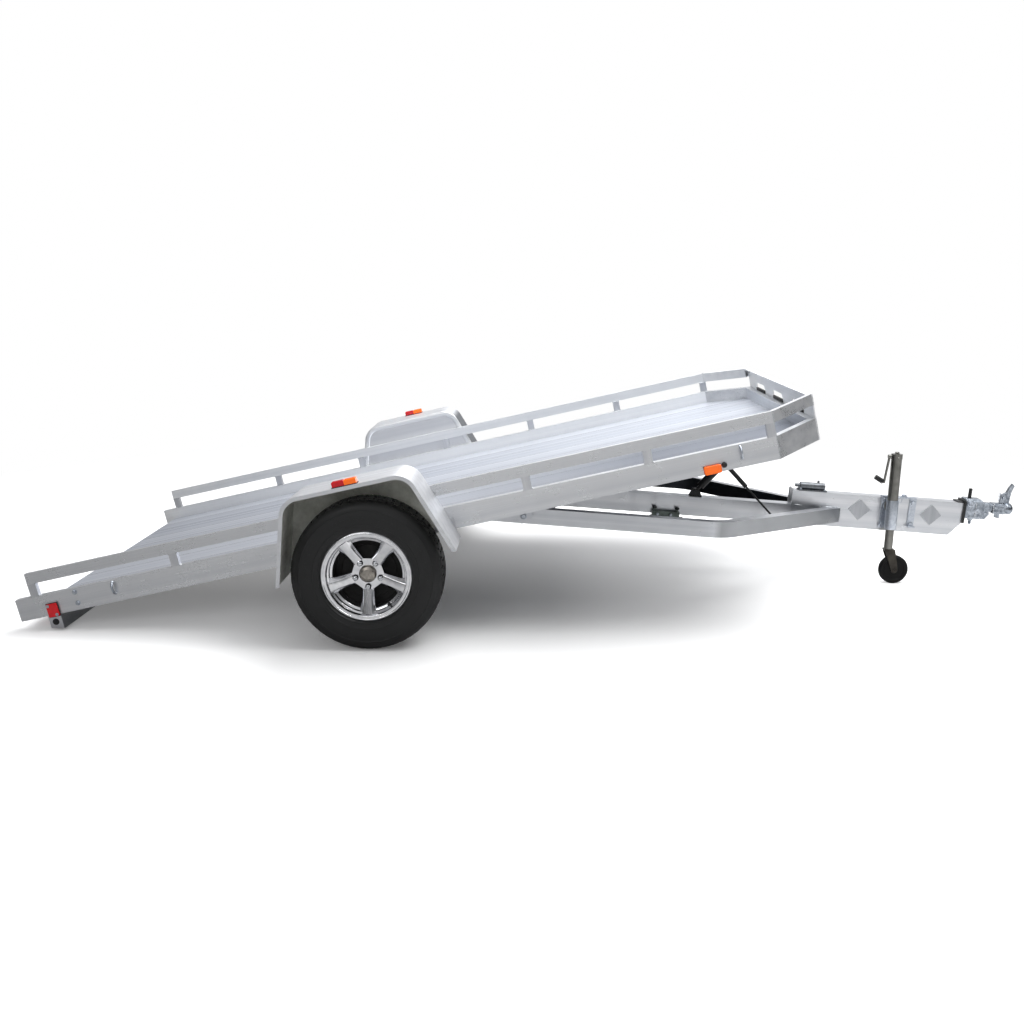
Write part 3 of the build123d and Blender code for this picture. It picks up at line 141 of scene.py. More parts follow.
def node(tree, kind, inputs=(), out=0, **settings):
    """Adds one shader node and gives back one of its outputs, by name or number.

    The inputs are a list in the node's own order, or a dict by name or number. Each is a value, an sRGB
    hex code, or another node's output.
    """
    made = tree.nodes.new("ShaderNode" + kind)
    for key, value in settings.items():
        setattr(made, key, value)
    for key, value in inputs.items() if isinstance(inputs, dict) else enumerate(inputs):
        if isinstance(value, bpy.types.NodeSocket):
            tree.links.new(value, made.inputs[key])
        else:
            made.inputs[key].default_value = hex_colour(value) if isinstance(value, str) else value
    return made.outputs[out] if made.outputs else None


def chained(tree, operation, *values):
    """Values added or multiplied together, two by two."""
    result = values[0]
    for value in values[1:]:
        result = node(tree, "Math", [result, value], operation=operation)
    return result


print("white is", hex_colour("ffffff"))

# %% [markdown]
# ## What the metal sees
# Around the softbox, a studio has a bright wall behind the subject and a dark room behind the camera. Metal
# with an even grey all round looks like plastic, so the world holds both: a wall that brightens toward the
# ceiling and dims at its two ends, and a darker viewer's side. The camera itself sees plain white.

# %% World
WALL_DARK, WALL_BRIGHT = 0.55, 1.35
world = bpy.data.worlds.new("studio")
bpy.context.scene.world = world
world.use_nodes = True
sky = world.node_tree
sky.nodes.clear()
heading = node(sky, "SeparateXYZ", [node(sky, "TexCoord", out="Generated")]).node.outputs
wall = node(sky, "MapRange", [heading["Y"], -0.2, 1.0, WALL_DARK, WALL_BRIGHT])
ceiling = node(sky, "MapRange", [heading["Z"], 0.15, 0.5, 0.5, 1.15])
rear_end = node(sky, "MapRange", [heading["X"], -0.30, 0.08, 0.38, 1.0])
front_end = node(sky, "MapRange", [heading["X"], 0.35, 0.85, 1.0, 0.3])
strength = chained(sky, "MULTIPLY", wall, ceiling, rear_end, front_end)
glow = node(sky, "Background", {"Color": "f5f6f8", "Strength": strength})
white = node(sky, "Background", {"Color": "ffffff", "Strength": 1.0})
seen = node(sky, "LightPath", out="Is Camera Ray")
node(sky, "OutputWorld", {"Surface": node(sky, "MixShader", [seen, glow, white])})
bpy.context.scene.view_settings.view_transform = "Standard"
print("world nodes", len(sky.nodes))

# %% [markdown]
# ## Patterns in real millimetres
# A finish reads object coordinates, which are metres, so a pattern's scale follows from a real size: a
# noise with blobs 3 mm across has a scale of 1000 / 3. The same three nodes come back in every finish, a
# noise, a mix of two colours and a bump, so small functions write out their inputs.

# %% Pattern helpers
# Most of a noise's values lie between these.
NOISE_SPAN = (0.3, 0.7)
# The list after a MapRange is the value, the two ends it comes from and the two ends it goes to.
# A Mix node has sockets for every kind of value: these settings and numbers are its colour ones.
COLOURS = {"data_type": "RGBA", "out": 2}
FIRST_COLOUR, SECOND_COLOUR = 6, 7


def grain(vector, millimetres, detail, roughness=0.5):
    """Inputs of a noise whose blobs are about this many millimetres across."""
    return {"Vector": vector, "Scale": 1000.0 / millimetres, "Detail": detail, "Roughness": roughness}


def mixed(factor, first, second):
    """Inputs of a mix of two colours, each a hex code or another node's output."""
    return {"Factor": factor, FIRST_COLOUR: first, SECOND_COLOUR: second}


def relief(height, depth_mm, strength=0.5):
    """Inputs of a bump as deep as this many millimetres."""
    return {"Height": height, "Distance": depth_mm / 1000.0, "Strength": strength}


def fresh(name):
    """New node material, its empty tree and its object coordinates."""
    made = bpy.data.materials.new(name)
    made.use_nodes = True
    made.node_tree.nodes.clear()
    return made, made.node_tree, node(made.node_tree, "TexCoord", out="Object")


def skinned(made, inputs):
    """Ends a finish with its main shader and its output."""
    tree = made.node_tree
    node(tree, "OutputMaterial", {"Surface": node(tree, "BsdfPrincipled", inputs)})
    return made


print("3 mm blobs have a scale of", round(grain(None, 3.0, 4)["Scale"], 1))

# %% [markdown]
# ## Mill-finish aluminium
# Rails, posts and tongue are aluminium as it leaves the extrusion press: pale grey and softly bright, with
# fine die lines along its length that smear each reflection sideways. A tiled picture of metal would
# repeat over four metres of rail, so the lines are a noise squeezed 300 times along the piece. A broader
# noise clouds the oxide, and a third smudges the gloss where hands have been.

# %% Mill-finish aluminium
LINE_LONG_MM = 900.0
# Real die lines are a tenth of this: drawn as coarse as they need to be to show.
LINE_FINE_MM = 3.0
CLOUD_MM = 40.0
SMUDGE_MM = 70.0
BED_ANGLES = (0, BED_TILT, 0)
TONGUE_ANGLES = (0, -TONGUE_DROP, 0)


def mill_aluminium(name, light, dark, rough, angles, along="X", line_depth=0.03, shade=None, metal=1.0):
    """Extrusion or sheet with die lines along one axis of its own straight frame.

    shade is painted shade: a darker tone, an axis, and the two values of the face's normal between which it
    fades in.
    """
    made, tree, coords = fresh(name)
    squeezed = [LINE_FINE_MM / LINE_LONG_MM if axis == along else 1 for axis in "XYZ"]
    straight = node(tree, "Mapping", {"Vector": coords, "Rotation": angles})
    drawn = node(tree, "Mapping", {"Vector": straight, "Scale": squeezed})
    lines = node(tree, "TexNoise", grain(drawn, LINE_FINE_MM, 4, 0.6))
    cloud = node(tree, "TexNoise", grain(drawn, CLOUD_MM, 3))
    smudge = node(tree, "TexNoise", grain(straight, SMUDGE_MM, 4, 0.55))
    tone = chained(tree, "ADD", node(tree, "MapRange", [lines, *NOISE_SPAN, -0.1, 0.12]),
                   node(tree, "MapRange", [cloud, *NOISE_SPAN, 0.1, 0.9]))
    colour = node(tree, "Mix", mixed(tone, light, dark), **COLOURS)
    # painted shade: faces turned along the axis get a darker colour
    if shade:
        dark_tone, axis, bare, full = shade
        facing = node(tree, "SeparateXYZ", [node(tree, "NewGeometry", out="Normal")], out=axis)
        in_shade = node(tree, "MapRange", [facing, bare, full, 0.0, 1.0])
        colour = node(tree, "Mix", mixed(in_shade, colour, dark_tone), **COLOURS)
    gloss = chained(tree, "ADD", node(tree, "MapRange", [smudge, *NOISE_SPAN, rough - 0.04, rough + 0.05]),
                    node(tree, "MapRange", [lines, *NOISE_SPAN, -0.03, 0.04]))
    return skinned(made, {"Base Color": colour, "Metallic": metal, "Roughness": gloss,
                          "Normal": node(tree, "Bump", relief(lines, line_depth))})


# Side rails and top rails: the palest metal, with a skin of oxide that takes the edge off its mirror.
RAIL_ALU = mill_aluminium("mill aluminium, bed extrusion", "e9eaec", "d2d4d8", 0.30, BED_ANGLES, metal=0.82)
# The left side's rails, painted brighter as painted light: they read as thin white lines over the deck.
PAINTED_LIGHT_ALU = mill_aluminium("mill aluminium, extrusion with painted light", "f6f7f8", "e6e8eb", 0.34, BED_ANGLES,
                            metal=0.7)
# Extrusion that runs across the bed, so its lines do too.
CROSS_ALU = mill_aluminium("mill aluminium, cross extrusion", "dcdee1", "c2c5ca", 0.34, BED_ANGLES, "Y")
# Upright posts and plates, lined from top to bottom.
POST_ALU = mill_aluminium("mill aluminium, upright", "e2e3e6", "caccd1", 0.33, BED_ANGLES, "Z")
# Tongue extrusions, painted a shade greyer than the bed's as painted shade under the bed.
TONGUE_ALU = mill_aluminium("mill aluminium, tongue extrusion", "dedfe2", "c4c7cc", 0.32, TONGUE_ANGLES)
# Near A-frame rail, painted darker as painted shade where it turns in toward the spine.
ARM_ALU = mill_aluminium("mill aluminium, A-frame rail", "dedfe2", "c4c7cc", 0.32, TONGUE_ANGLES,
                         shade=("a2a4a7", "X", 0.12, 0.3))
# Far A-frame rail, whose inner side is painted almost black as painted shade from the bed above.
SHADED_ALU = mill_aluminium("mill aluminium, shaded tongue rail", "d4d5d8", "b9bcc1", 0.34, TONGUE_ANGLES,
                            shade=("34363a", "Y", -0.45, -0.75))
# Doubler plates on the tongue, cut from duller plate: grey diamonds on a pale side.
PLATE_ALU = mill_aluminium("mill aluminium, doubler plate", "bfc1c5", "a3a6ab", 0.4, TONGUE_ANGLES, "Z")
print("extrusion finishes done")

# %% [markdown]
# ## Rolled sheet
# Fenders and front panel are rolled sheet rather than extrusion: the lines are shallower and the gloss
# softer, so a large face turns smoothly from light to dark. The same function makes them with other values.

# %% Rolled sheet
SHEET_LINE_DEPTH = 0.015
# Right fender.
SHEET_ALU = mill_aluminium("mill aluminium, rolled sheet", "e8e9ec", "d4d6da", 0.4, BED_ANGLES, "X",
                           SHEET_LINE_DEPTH, metal=0.78)
# Left fender, whose front slope is painted darker as painted shade.
SHEET_SHADE_ALU = mill_aluminium("mill aluminium, sheet with painted shade", "e8e9ec", "d4d6da", 0.4, BED_ANGLES, "X",
                            SHEET_LINE_DEPTH, shade=("6f7277", "X", 0.55, 0.8), metal=0.78)
# Front panel, brushed across the bed to a soft satin, and painted brighter than the fenders as painted light.
PANEL_ALU = mill_aluminium("mill aluminium, brushed panel", "f4f5f6", "e4e6e9", 0.42, BED_ANGLES, "Y",
                           SHEET_LINE_DEPTH, metal=0.4)
print("sheet finishes done")

# %% [markdown]
# ## Deck planks
# The deck is ten hollow extruded planks with shallow ribs. Loads slide along it, so it wears in streaks,
# each plank a little differently. Its right-hand planks are painted darker toward the front, as painted
# shade.
# One material does all ten: the plank's number, found from how far across the bed a point lies, gives each
# its own tone, and a narrow dark line marks each joint. The ribs are too shallow to model and are a bump.

# %% Deck planks
PLANK_PITCH = 0.1956
JOINT_HALF, JOINT_EDGE = 0.0012, 0.0035
STREAK_MM = 22.0
RIB_HALF = 0.008


def deck_aluminium():
    """Deck plank: shallow ribs and streaks along the bed, a dark line at each joint."""
    made, tree, coords = fresh("mill aluminium, deck plank")
    straight = node(tree, "Mapping", {"Vector": coords, "Rotation": BED_ANGLES})
    drawn = node(tree, "Mapping", {"Vector": straight, "Scale": (LINE_FINE_MM / LINE_LONG_MM, 1, 1)})
    place = node(tree, "SeparateXYZ", [straight]).node.outputs
    along, across = place["X"], place["Y"]
    streak = node(tree, "TexNoise", grain(drawn, STREAK_MM, 3, 0.6))
    fine = node(tree, "TexNoise", grain(drawn, 4, 3, 0.6))
    # each plank's own tone comes from its number
    count = node(tree, "Math", [across, PLANK_PITCH], operation="DIVIDE")
    count = node(tree, "Math", [count], operation="FLOOR")
    own = node(tree, "TexWhiteNoise", {"W": count}, out="Value", noise_dimensions="1D")
    tone = chained(tree, "ADD", node(tree, "MapRange", [streak, *NOISE_SPAN, 0.0, 0.7]),
                   node(tree, "MapRange", [fine, *NOISE_SPAN, 0.0, 0.25]),
                   chained(tree, "MULTIPLY", own, 0.3))
    rear_tone = node(tree, "Mix", mixed(tone, "e0e3ea", "b0b5c0"), **COLOURS)
    front_tone = node(tree, "Mix", mixed(tone, "e2e5eb", "b3b9c4"), **COLOURS)
    forward = node(tree, "MapRange", [along, -0.9, 0.2, 0.0, 1.0])
    metal = node(tree, "Mix", mixed(forward, rear_tone, front_tone), **COLOURS)
    # painted shade: the right-hand planks, most of all toward the front, are painted darker and more metallic
    edge = chained(tree, "ADD", across, chained(tree, "MULTIPLY", streak, 0.35),
                   chained(tree, "MULTIPLY", own, 0.15))
    deck_shade_band = chained(tree, "MULTIPLY", node(tree, "MapRange", [edge, -0.20, 0.60, 1.0, 0.0]),
                      node(tree, "MapRange", [along, -0.8, 0.6, 0.0, 1.0]))
    metal = node(tree, "Mix", mixed(deck_shade_band, metal, "7a7f8a"), **COLOURS)
    within = node(tree, "Math", [across, PLANK_PITCH / 2], operation="PINGPONG")
    joint = node(tree, "MapRange", [within, JOINT_HALF, JOINT_EDGE, 1.0, 0.0])
    ribs = node(tree, "Math", [across, RIB_HALF], operation="PINGPONG")
    ribs = node(tree, "MapRange", [ribs, 0.0, RIB_HALF, 0.0, 1.0])
    return skinned(made, {"Base Color": node(tree, "Mix", mixed(joint, metal, "6d7178"), **COLOURS),
                          "Metallic": node(tree, "MapRange", [deck_shade_band, 0.0, 1.0, 0.7, 0.95]),
                          "Roughness": node(tree, "MapRange", [streak, *NOISE_SPAN, 0.34, 0.46]),
                          "Normal": node(tree, "Bump", relief(ribs, 0.25))})


DECK_ALU = deck_aluminium()
print("deck finish has", len(DECK_ALU.node_tree.nodes), "nodes")

# %% [markdown]
# ## Polished alloy and plated steel
# The wheels are cast aluminium, machined and polished: nearly a mirror, yet never perfectly flat, which
# faint waves give. Steel parts are dipped or plated with zinc, which freezes in patches of tone. A Voronoi
# pattern makes those spangles, and their size tells a hot-dip coat from a thin clear plating.

# %% Polished alloy and plated steel
def polished_alloy():
    """Polished cast wheel: near mirror, with faint polishing waves and duller water spots."""
    made, tree, coords = fresh("polished cast alloy")
    wave = node(tree, "TexNoise", grain(coords, 30, 3))
    spots = node(tree, "TexNoise", grain(coords, 4, 3, 0.6))
    tone = node(tree, "MapRange", [wave, *NOISE_SPAN, 0.0, 1.0])
    return skinned(made, {"Base Color": node(tree, "Mix", mixed(tone, "f4f4f6", "dcdde1"), **COLOURS),
                          "Metallic": 1.0,
                          "Roughness": node(tree, "MapRange", [spots, *NOISE_SPAN, 0.08, 0.19]),
                          "Normal": node(tree, "Bump", relief(wave, 0.25, 0.35))})


def plated_steel(name, light, dark, rough, patch_mm):
    """Zinc or galvanised steel: spangled patches of tone over a satin metal."""
    made, tree, coords = fresh(name)
    cells = node(tree, "TexVoronoi", {"Vector": coords, "Scale": 1000.0 / patch_mm}, out="Distance",
                 feature="SMOOTH_F1")
    bloom = node(tree, "TexNoise", grain(coords, patch_mm * 2.5, 5, 0.6))
    tone = chained(tree, "ADD", node(tree, "MapRange", [cells, 0.1, 0.8, 0.0, 0.5]),
                   node(tree, "MapRange", [bloom, *NOISE_SPAN, 0.0, 0.5]))
    gloss = node(tree, "MapRange", [bloom, *NOISE_SPAN, rough - 0.07, rough + 0.1])
    return skinned(made, {"Base Color": node(tree, "Mix", mixed(tone, light, dark), **COLOURS),
                          "Metallic": 1.0, "Roughness": gloss,
                          "Normal": node(tree, "Bump", relief(bloom, 0.06))})


# Polished cast wheels: they show the dark room and the bright ceiling side by side.
ALLOY = polished_alloy()
# Satin centre caps, warmer and duller than the wheels round them.
CAP_ALLOY = plated_steel("satin cast alloy", "b4aea6", "8b857e", 0.3, 10)
# Clear zinc plating, with its cold blue cast.
ZINC = plated_steel("clear zinc plating", "d3d8df", "a3abb7", 0.36, 9)
# Bright zinc on the rough coupler casting, blotched light and dark.
CAST_ZINC = plated_steel("bright zinc on casting", "ccd3dc", "4f5763", 0.26, 14)
# Zinc plating of the jack, aged to a warm grey.
JACK_ZINC = plated_steel("dull zinc plating", "9b9a95", "6b6a66", 0.34, 30)
# Weathered zinc of the bed latch, darker than any other.
DULL_ZINC = plated_steel("weathered zinc plating", "8c8f93", "54575b", 0.4, 12)
# Hot-dip galvanised axle and arms: large flat spangles, hardly any shine.
GALVANISED = plated_steel("hot-dip galvanising", "b4b8bd", "8b9096", 0.45, 22)
# Hard chrome on the rods and nuts: even and close to a mirror.
CHROME = plated_steel("hard chrome", "dfe1e4", "c9ccd0", 0.12, 6)
print("plated finishes done")

# %% [markdown]
# ## Rubber, paint and lamp lenses
# Rubber is nearly black with a moulded grain, and dust greys it in patches. Paint and plastic share one
# recipe, a slight orange peel over worn and unworn tones. A lamp lens is glossy red or amber with prism
# ribs inside, and a reflector behind it throws light back: clear plastic and a real reflector would take
# far longer to render, so a weak glow of the lens's own colour stands for them.

# %% Rubber, paint and lamp lenses
DUST_PATCH_MM = 90.0
WEAR_PATCH_MM = 55.0
LENS_RIB_MM = 3.0


def rubber(name, light, dark, rough, grain_mm, dust="4a4845", dust_amount=0.15, shine=0.5):
    """Black rubber: fine moulded grain with grey dust in patches."""
    made, tree, coords = fresh(name)
    moulded = node(tree, "TexNoise", grain(coords, grain_mm, 4, 0.6))
    patches = node(tree, "TexNoise", grain(coords, DUST_PATCH_MM, 5, 0.62))
    tone = node(tree, "MapRange", [moulded, *NOISE_SPAN, 0.0, 1.0])
    bare = node(tree, "Mix", mixed(tone, light, dark), **COLOURS)
    dusty = node(tree, "MapRange", [patches, 0.5, 0.78, 0.0, dust_amount])
    gloss = node(tree, "MapRange", [patches, *NOISE_SPAN, rough - 0.08, rough + 0.1])
    return skinned(made, {"Base Color": node(tree, "Mix", mixed(dusty, bare, dust), **COLOURS),
                          "Roughness": gloss, "Specular IOR Level": shine,
                          "Normal": node(tree, "Bump", relief(moulded, 0.15, 0.4))})


def coated(name, light, dark, rough, grain_mm, metal=0.0):
    """Paint or plastic with orange-peel and slight wear."""
    made, tree, coords = fresh(name)
    peel = node(tree, "TexNoise", grain(coords, grain_mm, 3))
    wear = node(tree, "TexNoise", grain(coords, WEAR_PATCH_MM, 5, 0.65))
    tone = node(tree, "MapRange", [wear, *NOISE_SPAN, 0.0, 1.0])
    gloss = node(tree, "MapRange", [wear, *NOISE_SPAN, rough - 0.06, rough + 0.08])
    return skinned(made, {"Base Color": node(tree, "Mix", mixed(tone, light, dark), **COLOURS),
                          "Metallic": metal, "Roughness": gloss,
                          "Normal": node(tree, "Bump", relief(peel, 0.05, 0.4))})


def lens(name, light, dark):
    """Moulded lamp lens: prism ribs under a glossy coloured skin, with a weak glow of its own."""
    made, tree, coords = fresh(name)
    straight = node(tree, "Mapping", {"Vector": coords, "Rotation": BED_ANGLES})
    rib_scale = 1000.0 / LENS_RIB_MM / 20 * math.pi
    ribs = node(tree, "TexWave", {"Vector": straight, "Scale": rib_scale}, out="Fac", bands_direction="X",
                wave_profile="TRI")
    depth = node(tree, "TexNoise", grain(coords, 18, 2))
    tone = chained(tree, "ADD", node(tree, "MapRange", [ribs, 0.0, 1.0, 0.0, 0.6]),
                   node(tree, "MapRange", [depth, *NOISE_SPAN, 0.0, 0.4]))
    return skinned(made, {"Base Color": node(tree, "Mix", mixed(tone, light, dark), **COLOURS),
                          "Roughness": 0.2, "Coat Weight": 0.2,
                          "Emission Color": light, "Emission Strength": 0.3,
                          "Normal": node(tree, "Bump", relief(ribs, 0.3, 0.4))})


# Tyre sidewall and tread: soft black with a breath of road dust.
TYRE_RUBBER = rubber("tyre rubber", "101113", "08090a", 0.5, 1.5, "2b2a29", 0.12)
# Caster wheel, cleaner and blacker, with almost no shine.
CASTER_RUBBER = rubber("caster rubber", "0a0a0b", "050506", 0.5, 1.0, "131211", 0.15, 0.2)
# Grommets, gaskets and plugs: moulded, dusty in patches.
SOFT_RUBBER = rubber("moulded rubber", "17181a", "101112", 0.55, 1.0)
# Crank grip and knobs: hard plastic with a sharper highlight than rubber.
PLASTIC = coated("black plastic", "17181a", "0e0f10", 0.42, 0.8)
# Satin black paint of damper, strut and coupler plate.
BLACK_PAINT = coated("satin black paint", "1a1b1c", "0f1011", 0.38, 1.2)
# Grey-green enamel of the hydraulic valve.
ENAMEL = coated("grey green enamel", "7c8982", "56605a", 0.4, 1.5)
# Brake drums, black with a bloom of rust.
DRUM_BLACK = coated("black brake drum", "121213", "1e1815", 0.6, 2.5)
# Caster fork, brown-black paint worn through to metal.
FORK_BROWN = coated("worn fork paint", "48443d", "221f1b", 0.42, 1.5, 0.6)
# Red and amber lamp lenses, bright even in the shade of the fender.
RED_LENS = lens("red lens", "c80c18", "900812")
AMBER_LENS = lens("amber lens", "ff7210", "f05c08")
print("finishes", len(bpy.data.materials))

# %% [markdown]
# ## Finishes on the CAD pieces
# A CAD piece keeps its mesh and only changes its material. One table says which pieces are cut from the same
# stock and finished alike, as a parts list would, and a loop hands the finishes out. Any piece that the
# table forgets is printed.

# %% Assign the finishes
FINISHES = [
    (RAIL_ALU, ["side_rail_right", "corner_rails", "top_rail_right"]),
    (PAINTED_LIGHT_ALU, ["side_rail_left", "top_rail_left"]),
    (CROSS_ALU, ["front_beam", "cross_members", "rear_beam"]),
    (DECK_ALU, ["deck_planks"]),
    (SHEET_ALU, ["fender_right"]),
    (SHEET_SHADE_ALU, ["fender_left"]),
    (PANEL_ALU, ["front_panel"]),
    (POST_ALU, ["side_posts", "beam_end_plates", "axle_brackets"]),
    (TONGUE_ALU, ["tongue_spine", "tongue_upper_tube", "tongue_cross", "hinge_ears", "upper_end_plate"]),
    (ARM_ALU, ["tongue_arm_right"]),
    (SHADED_ALU, ["tongue_arm_left"]),
    (PLATE_ALU, ["diamond_plates"]),
    (ALLOY, ["rim_left", "rim_right"]),
    (CAP_ALLOY, ["centre_cap_left", "centre_cap_right"]),
    (ZINC, ["jack_bracket"]),
    (CAST_ZINC, ["coupler_body", "coupler_lever"]),
    (JACK_ZINC, ["jack_housing", "jack_crank", "jack_ram"]),
    (DULL_ZINC, ["bed_latch"]),
    (FORK_BROWN, ["caster_fork"]),
    (GALVANISED, ["axle_tube", "torsion_arms"]),
    (DRUM_BLACK, ["hub_left", "hub_right"]),
    (CHROME, ["damper_rod"]),
    (ENAMEL, ["tilt_valve"]),
    (TYRE_RUBBER, ["tyre_left", "tyre_right"]),
    (CASTER_RUBBER, ["caster_wheel"]),
    (SOFT_RUBBER, ["beam_grommets"]),
    (PLASTIC, ["jack_grip"]),
    (BLACK_PAINT, ["damper_cylinder", "damper_foot", "damper_head", "strut_cylinder", "strut_foot",
                   "strut_head", "strut_rod", "coupler_plate"]),
    (RED_LENS, ["tail_lamps", "rear_side_lamps", "fender_lamps_red"]),
    (AMBER_LENS, ["front_side_lamps", "fender_lamps_amber"]),
]
for finish, names in FINISHES:
    for name in names:
        NODES[name].data.materials.clear()
        NODES[name].data.materials.append(finish)
print("without a finish:", sorted(set(NODES) - {name for _, names in FINISHES for name in names}))

# %% [markdown]
# ## Floor paint
# The floor is a pale matt sheet that has to fade into white with no edge, yet keep the trailer's shadow. To
# the camera it is near white near the trailer and turns to a plain glow a few metres off. Metal sees it
# differently: its far parts are darker, like the unlit edges of a studio, or every near face of the
# trailer would be washed out. A glow that only the camera sees is painted light: it lifts the shadow toward
# its two ends and its far side.

# %% Floor paint
FADE_NEAR, FADE_FAR = 2.8, 5.5
FAR_GLOW = 0.74
# Strengths of a glow painted on the floor for the camera: painted light that lifts the shadow.
PAINTED_LIFT_MIDDLE = 0.05
PAINTED_LIFT_REAR = 0.15
PAINTED_LIFT_FRONT = 0.23
PAINTED_LIFT_LEFT = 0.12
floor_paint, tree, coords = fresh("studio floor paint")
seen = node(tree, "LightPath", out="Is Camera Ray")
where = node(tree, "SeparateXYZ", [coords]).node.outputs
along = where["X"]
pale = node(tree, "Mix", mixed(node(tree, "TexNoise", grain(coords, 900, 2)), "fbfbfb", "f8f8f8"), **COLOURS)
toward_middle = node(tree, "MapRange", [along, -2.6, -0.6, 0.0, 1.0])
mirrored = node(tree, "Mix", mixed(toward_middle, "9c9c9c", "bcbcbc"), **COLOURS)
toward_front = node(tree, "MapRange", [along, 0.7, 1.9, 0.0, 1.0])
mirrored = node(tree, "Mix", mixed(toward_front, mirrored, "d6d6d6"), **COLOURS)
# painted light: a glow that only the camera sees lifts the shadow at the rear, the front and the far side
painted_lift = chained(tree, "ADD", node(tree, "MapRange", [along, -1.5, -0.6, PAINTED_LIFT_REAR, 0.0]),
               node(tree, "MapRange", [along, 0.0, 1.0, 0.0, PAINTED_LIFT_FRONT]),
               node(tree, "MapRange", [where["Y"], -0.4, 0.3, 0.0, PAINTED_LIFT_LEFT]), PAINTED_LIFT_MIDDLE)
sheet = node(tree, "BsdfPrincipled", {"Base Color": node(tree, "Mix", mixed(seen, mirrored, pale), **COLOURS),
                                      "Roughness": 0.9, "Specular IOR Level": 0.1, "Emission Color": "ffffff",
                                      "Emission Strength": chained(tree, "MULTIPLY", seen, painted_lift)})
far_glow = chained(tree, "MULTIPLY", node(tree, "MapRange", [along, -2.6, -0.3, 0.5 * FAR_GLOW, FAR_GLOW]),
                   node(tree, "MapRange", [along, 3.0, 5.5, 1.0, 0.8]))
far_strength = node(tree, "Mix", {"Factor": seen, "A": far_glow, "B": 1.0})
backdrop = node(tree, "Emission", {"Color": "ffffff", "Strength": far_strength})
reach = node(tree, "VectorMath", [coords], out="Value", operation="LENGTH")
fade = node(tree, "MapRange", [reach, FADE_NEAR, FADE_FAR, 0.0, 1.0])
node(tree, "OutputMaterial", {"Surface": node(tree, "MixShader", [fade, sheet, backdrop])})
floor.data.materials.append(floor_paint)
print("floor fades out from", FADE_NEAR, "to", FADE_FAR, "metres")

# %% [markdown]
# ## Modelling helpers
# New pieces are modelled as by hand: an outline or a primitive, shaped in edit mode. An operator acts on
# all that is selected, and the frame leaves its own pieces selected, so every edit starts by clearing the
# selection. Faces and edges are then picked by where they lie, which still works when a size changes.

# %% Edit mode
def start_edit(obj):
    """Makes obj active and opens edit mode with nothing selected."""
    if bpy.context.mode != "OBJECT":
        bpy.ops.object.mode_set(mode="OBJECT")
    bpy.ops.object.select_all(action="DESELECT")
    obj.select_set(True)
    bpy.context.view_layer.objects.active = obj
    bpy.ops.object.mode_set(mode="EDIT")
    bpy.ops.mesh.select_all(action="DESELECT")


def pick_faces(obj, test):
    """Selects the faces whose centre and normal pass the test."""
    bpy.ops.mesh.select_mode(type="FACE")
    shape = bmesh.from_edit_mesh(obj.data)
    for face in shape.faces:
        face.select_set(bool(test(face.calc_center_median(), face.normal)))
    bmesh.update_edit_mesh(obj.data)


def pick_edges(obj, test):
    """Selects the edges whose two ends pass the test."""
    bpy.ops.mesh.select_mode(type="EDGE")
    shape = bmesh.from_edit_mesh(obj.data)
    for edge in shape.edges:
        edge.select_set(bool(test(edge.verts[0].co, edge.verts[1].co)))
    bmesh.update_edit_mesh(obj.data)


def end_edit(obj, smooth=35):
    """Points all faces outward, leaves edit mode and shades smooth up to an angle."""
    bpy.ops.mesh.select_all(action="SELECT")
    bpy.ops.mesh.normals_make_consistent(inside=False)
    bpy.ops.object.mode_set(mode="OBJECT")
    bpy.ops.object.shade_smooth_by_angle(angle=math.radians(smooth))
    return obj


print("edit helpers ready")

# %% [markdown]
# ## Placing and copying
# A piece is modelled once at the origin and copied, each copy with its own mesh. Its place goes into the
# mesh and the object itself stays at the origin, so that a pattern on object coordinates doesn't slide, and
# it rides on the body it belongs to, so that it follows the joints. A mirrored copy comes out inside out,
# which a negative determinant shows, and its faces are flipped back.

# %% Place and copy
def put(obj, place, body, finish):
    """Moves the mesh itself into place and hangs the piece on its body."""
    obj.data.transform(place @ obj.matrix_world)
    obj.matrix_world = Matrix.Identity(4)
    obj.data.materials.clear()
    obj.data.materials.append(finish)
    if place.determinant() < 0:
        obj.data.flip_normals()
    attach(obj, body)
    return obj


def twin(obj, name):
    """A copy with its own mesh."""
    made = obj.copy()
    made.data = obj.data.copy()
    made.name = name
    bpy.context.collection.objects.link(made)
    return made


def joined(objs, name):
    """Several objects as one mesh."""
    bpy.ops.object.select_all(action="DESELECT")
    for obj in objs:
        obj.select_set(True)
    bpy.context.view_layer.objects.active = objs[0]
    bpy.ops.object.join()
    objs[0].name = name
    return objs[0]


def discard(*models):
    """Removes models that have been copied."""
    for model in models:
        bpy.data.objects.remove(model, do_unlink=True)


SIDES = {"left": 1, "right": -1}
MIRROR = {"left": Matrix.Identity(4), "right": Matrix.Scale(-1, 4, (0, 1, 0))}
WHEEL_PLACE = {side: AXLE @ MIRROR[side] @ Matrix.Translation((0, WHEEL_Y, 0)) for side in SIDES}
print("wheels stand", round(2 * WHEEL_Y, 3), "metres apart")

# %% [markdown]
# ## Tyres
# A trailer tyre is a plain thing: smooth sidewalls with a few rings, five ribs and four grooves. The CAD
# tyre has only its outline, so this one replaces it. Its section is drawn once, from bead to crown, and spun
# round the axle, which keeps every groove true.

# %% Tyre section
Y_AXIS, Z_AXIS = (0, 1, 0), (0, 0, 1)
TYRE_STEPS = 216
TYRE_OUTER = 0.3315
HALF_TREAD = 0.074
# How close two points of a spun shape lie where they are one.
MERGE = 0.00002


def outlined(name, points, edges=(), faces=()):
    """New object from points: the start of a spun, bridged or extruded piece."""
    mesh = bpy.data.meshes.new(name)
    mesh.from_pydata(points, edges, faces)
    made = bpy.data.objects.new(name, mesh)
    bpy.context.collection.objects.link(made)
    return made


def strung(points):
    """Edges that join points in a row."""
    return [(i, i + 1) for i in range(len(points) - 1)]


